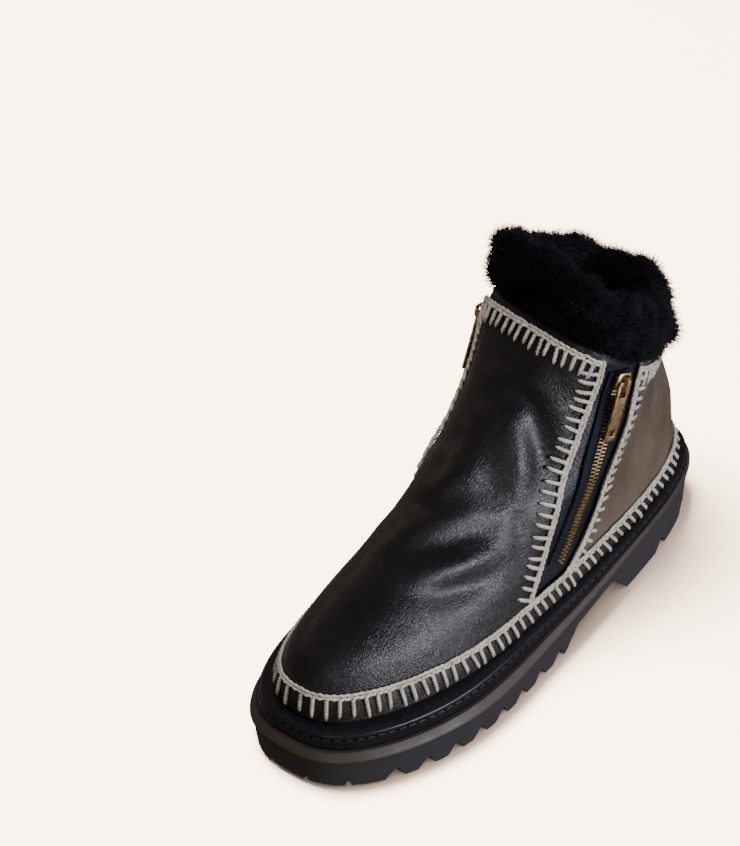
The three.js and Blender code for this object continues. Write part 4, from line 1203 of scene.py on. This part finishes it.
# %% Welt stitches
STITCH_PITCH = 5.2
stitch_ring = sole_ring(-4.9, 10.05, 1.5 * GAP)
loop = np.vstack([stitch_ring, stitch_ring[:1]])
stitch_run = even_path(loop)
stitch_count = int(stitch_run[-1] / STITCH_PITCH)
stitch_at = np.arange(stitch_count) * stitch_run[-1] / stitch_count
stitch_points = points_at(stitch_at, stitch_run, loop)
stitch_way = unit(np.roll(stitch_points, -1, axis=0) - np.roll(stitch_points, 1, axis=0))
stitch_out = unit(np.cross(stitch_way, np.array([0, 0, 1.0])))
thread = make_rubber("waxed_thread", (0.012, 0.012, 0.016), (0.03, 0.03, 0.04), (0.3, 0.5))
stitches = set_along("welt_stitches", stitch_points, stitch_way, stitch_out, thread,
                     Length=3.4, Width=0.8, Height=1.1, Rounding=0.3)
hand_over(stitches, "gloss_rubber")

# %% [markdown]
# Deep fur needs a ground and a pile. The ground is a dark ring with the fur's form, lumpy like
# combed tufts. It is a grid round the collar: each ring is the section of the fur, moved out from
# the collar's middle, flatter over the vamp and higher over the inner side of the heel.

# %% Fur ground
# Out and up from the collar's edge, in mm
FUR_SECTION = ((-0.5, 2.5), (3.6, 8), (5.2, 16), (2.5, 25), (-3.5, 28.5), (-8.2, 25), (-10.2, 16),
               (-11.2, 1), (-8.0, -10), (-5.2, -1))
BIG_TUFTS, SMALL_TUFTS = (3.0, 18, 21), (2.3, 9, 22)  # height and size in mm, seed
FUR_FRONT = {"flatter": 0.9, "lower": 0.14, "inward": 5}
FUR_HIGH_SIDE = {"taller": 0.22, "toward": math.radians(-125)}
FUR_ROUND, FUR_ACROSS = 200, 56
collar_middle = (upper_at(1, 0.0) + upper_at(1, math.pi)) / 2


def section_curve(count):
    """The section as a smooth closed curve of many points."""
    corners = np.array(FUR_SECTION, float)
    ring = np.vstack([corners, corners[:1]])
    places = even_path(ring)
    wide = np.vstack([corners[-2:], corners, corners[:3]])
    wide_places = even_path(wide)
    start = wide_places[2]
    at = start + np.linspace(0, places[-1], count, endpoint=False)
    return np.stack([along(wide_places, wide[:, i], at) for i in range(2)], -1)


def fur_point(angle, out, up):
    edge = upper_at(1, angle)
    ray = edge - collar_middle
    ray[..., 2] = 0
    ray = unit(ray)
    front = (1 + np.cos(angle)) / 2
    high = (1 + np.cos(angle - FUR_HIGH_SIDE["toward"])) / 2
    reach = np.where(out > 0, out * (1 - FUR_FRONT["flatter"] * front), out)
    reach = reach - FUR_FRONT["inward"] * front * np.clip(up / 10, 0, 1)
    rise = np.where(up > 0, up * (1 - FUR_FRONT["lower"] * front + FUR_HIGH_SIDE["taller"] * high), up)
    point = edge + ray * reach[..., None]
    point[..., 2] += rise
    return point


fur_angle = full_turn(FUR_ROUND)
section = section_curve(FUR_ACROSS)
fur_grid = np.stack([fur_point(fur_angle, np.full(FUR_ROUND, out), np.full(FUR_ROUND, up))
                     for out, up in section])
ground_out = unit(np.cross(np.roll(fur_grid, -1, 1) - np.roll(fur_grid, 1, 1),
                           np.roll(fur_grid, -1, 0) - np.roll(fur_grid, 1, 0)))
tufts = sum(height * soft_lumps(fur_grid, size, seed) for height, size, seed in (BIG_TUFTS, SMALL_TUFTS))
shown = np.clip((section[:, 1] - 1) / 6, 0, 1)[:, None]
fur_ground_points = fur_grid + ground_out * (tufts * shown)[..., None]
ground_mesh = grid_mesh("fur_ground", fur_ground_points, closed_rows=True, closed_columns=True)
ground = new_object("fur_ground", ground_mesh, pelt_finish)
hand_over(ground, "fur", "fur_collar")

# %% [markdown]
# The pile is tens of thousands of tapered hairs. The tree scatters points over the ground, turns
# a bent three-sided spike out along each point's normal with a little disorder, leans neighbours the
# same way, and varies their size. Ten triangles a hair keep each piece of fur under its limit.

# %% A tree that grows fur
def make_fur_tree():
    tree, source, end = start_tree("grow_fur", Density=20000.0, Seed=1, Hair_Length=0.009,
                                   Hair_Radius=0.0004, Disorder=0.5, Bend=0.3, Tuft=0.8, Tuft_Scale=100.0,
                                   Material="")
    points = add_node(tree, "GeometryNodeDistributePointsOnFaces", Mesh=source.outputs["Geometry"],
                      Density=source.outputs["Density"], Seed=source.outputs["Seed"])
    spike = add_node(tree, "GeometryNodeMeshCone", Vertices=3, Side_Segments=2, Radius_Top=0.0,
                     Radius_Bottom=source.outputs["Hair Radius"], Depth=source.outputs["Hair Length"])
    place = tree.nodes.new("GeometryNodeInputPosition").outputs[0]
    parts = add_node(tree, "ShaderNodeSeparateXYZ", Vector=place)
    height = math_node(tree, "DIVIDE", parts.outputs["Z"], source.outputs["Hair Length"])
    swing = math_node(tree, "MULTIPLY", math_node(tree, "MULTIPLY", height, height),
                      math_node(tree, "MULTIPLY", source.outputs["Bend"], source.outputs["Hair Length"]))
    offset = add_node(tree, "ShaderNodeCombineXYZ", X=swing)
    hair = add_node(tree, "GeometryNodeSetPosition", Geometry=spike.outputs[0], Offset=offset.outputs[0])
    jitter = chance(tree, "FLOAT_VECTOR", (-1, -1, -1), (1, 1, 1), 11)
    scaled = scaled_vector(tree, jitter, source.outputs["Disorder"])
    swirl = add_node(tree, "ShaderNodeTexNoise", Scale=source.outputs["Tuft Scale"], Detail=1.0)
    centred = vector_node(tree, "SUBTRACT", swirl.outputs["Color"], (0.5, 0.5, 0.5))
    pull = scaled_vector(tree, centred, math_node(tree, "MULTIPLY", source.outputs["Tuft"], 4.0))
    way = vector_node(tree, "ADD", vector_node(tree, "ADD", points.outputs["Normal"], scaled), pull)
    spun = add_node(tree, "ShaderNodeCombineXYZ", Z=chance(tree, "FLOAT", 0.0, 2 * math.pi, 12))
    first = add_node(tree, "FunctionNodeEulerToRotation", Euler=spun.outputs[0])
    turned = add_node(tree, "FunctionNodeAlignRotationToVector", {"axis": "Z"},
                      Rotation=first.outputs[0], Vector=way)
    grown = add_node(tree, "GeometryNodeInstanceOnPoints", Points=points.outputs[0],
                     Instance=hair.outputs[0], Rotation=turned.outputs[0],
                     Scale=chance(tree, "FLOAT", 0.65, 1.15, 13))
    end(grown.outputs[0])
    return tree


fur_tree = make_fur_tree()
print("fur tree has", len(fur_tree.nodes), "nodes")

# %% [markdown]
# The collar is deep black shearling. Its hairs could be a hair system, but the piece has to end up as a
# plain mesh. So Geometry Nodes plants a thin spike on every scattered point, and a noise bends
# neighbouring spikes the same way, which makes the tufts.

# %% Fur pile
FUR_BANDS = (
    # name, from row, to row, hairs per square metre, disorder
    ("fur_outside", 0, 10, 3.1e6, 0.38),
    ("fur_brow", 9, 19, 3.6e6, 0.38),
    ("fur_top", 18, 29, 3.6e6, 0.4),
    ("fur_mouth", 28, 39, 2.6e6, 0.4),
    ("fur_inside", 38, 52, 1.25e6, 0.4),
)
HAIR_LENGTH, HAIR_RADIUS = 6.5, 0.33
for name, first_row, last_row, density, disorder in FUR_BANDS:
    rows = np.arange(first_row, last_row + 1) % FUR_ACROSS
    band = new_object(name, grid_mesh(name, fur_ground_points[rows], closed_columns=True))
    set_input(band, fur_tree, Density=density, Seed=first_row + 3, Hair_Length=HAIR_LENGTH * MM,
              Hair_Radius=HAIR_RADIUS * MM, Disorder=disorder, Bend=0.45, Tuft=0.9, Tuft_Scale=95.0,
              Material=fur_finish)
    band = freeze(band)
    hand_over(band, "fur")

# %% [markdown]
# Inside, the insole is covered with the same short pile as the wall. The hard piece has the right
# shape, so it only gets the finish.

# %% Insole
refinish(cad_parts["insole"], lining_finish)

# %% [markdown]
# The studio: a pale cream floor and a soft overhead light. Black leather shows only what it
# mirrors, so the lights are placed where their reflections fall: a low window on the outer side for
# the highlights on the toe and the instep, and dim ones on the inner side and in front. The leather
# doesn't mirror the floor, which has a lamp of its own to make it bright.

# %% Floor and lights
floor_mesh = bpy.data.meshes.new("floor")
FLOOR = 6.0
floor_corners = [(-FLOOR, -FLOOR, 0), (FLOOR, -FLOOR, 0), (FLOOR, FLOOR, 0), (-FLOOR, FLOOR, 0)]
floor_mesh.from_pydata(floor_corners, [], [(0, 1, 2, 3)])
floor_finish, floor_tree, floor_shader, floor_where = start_material("paper", roughness=0.9, specular=0.1)
floor_tree.links.new(mix_colours(floor_tree, noise(floor_tree, floor_where, 2, 2), (0.9, 0.7, 0.54),
                                 (0.91, 0.71, 0.55)), floor_shader.inputs["Base Color"])
floor = new_object("floor", floor_mesh, floor_finish)
floor.visible_glossy = False
floor.visible_diffuse = False
paper_only = bpy.data.collections.new("paper_only")
paper_only.objects.link(floor)

world = bpy.data.worlds.new("studio")
bpy.context.scene.world = world
world.use_nodes = True
background = next(node for node in world.node_tree.nodes if node.type == "BACKGROUND")
background.inputs[0].default_value = (1.0, 0.84, 0.7, 1)
background.inputs[1].default_value = 0.15

LIGHTS = (
    # name, direction from the boot, distance in m, width, height in m, watts, colour
    ("paper_light", (0.1, -0.2, 1.0), 3.0, 1.3, 1.3, 860, (1.0, 0.98, 0.95)),
    ("overhead", (0.2, 0.2, 1.0), 3.2, 2.4, 2.4, 85, (1.0, 0.96, 0.93)),
    ("window", (-0.1, 1.0, 0.17), 2.0, 1.25, 0.6, 44, (0.9, 0.92, 1.0)),
    ("warm_side", (-0.1, -1.0, 0.45), 2.4, 1.2, 0.5, 3, (1.0, 0.76, 0.58)),
    ("front", (0.9, 0.5, 0.35), 2.6, 0.8, 0.6, 5, (1.0, 0.96, 0.92)),
)
for name, way, distance, width, height, watts, colour in LIGHTS:
    light = bpy.data.lights.new(name, "AREA")
    light.shape, light.size, light.size_y = "RECTANGLE", width, height
    light.energy, light.color = watts, colour
    lamp = bpy.data.objects.new(name, light)
    bpy.context.collection.objects.link(lamp)
    towards = Vector(way).normalized()
    lamp.location = towards * distance
    lamp.rotation_euler = (-towards).to_track_quat("-Z", "Y").to_euler()
    if name in ("paper_light", "overhead"):
        lamp.visible_glossy = False
    if name == "paper_light":
        lamp.light_linking.receiver_collection = paper_only
    print("light", name, "at", [round(value, 2) for value in lamp.location])

# %% [markdown]
# Last, the view layer is brought up to date.

# %% Finish
bpy.context.view_layer.update()
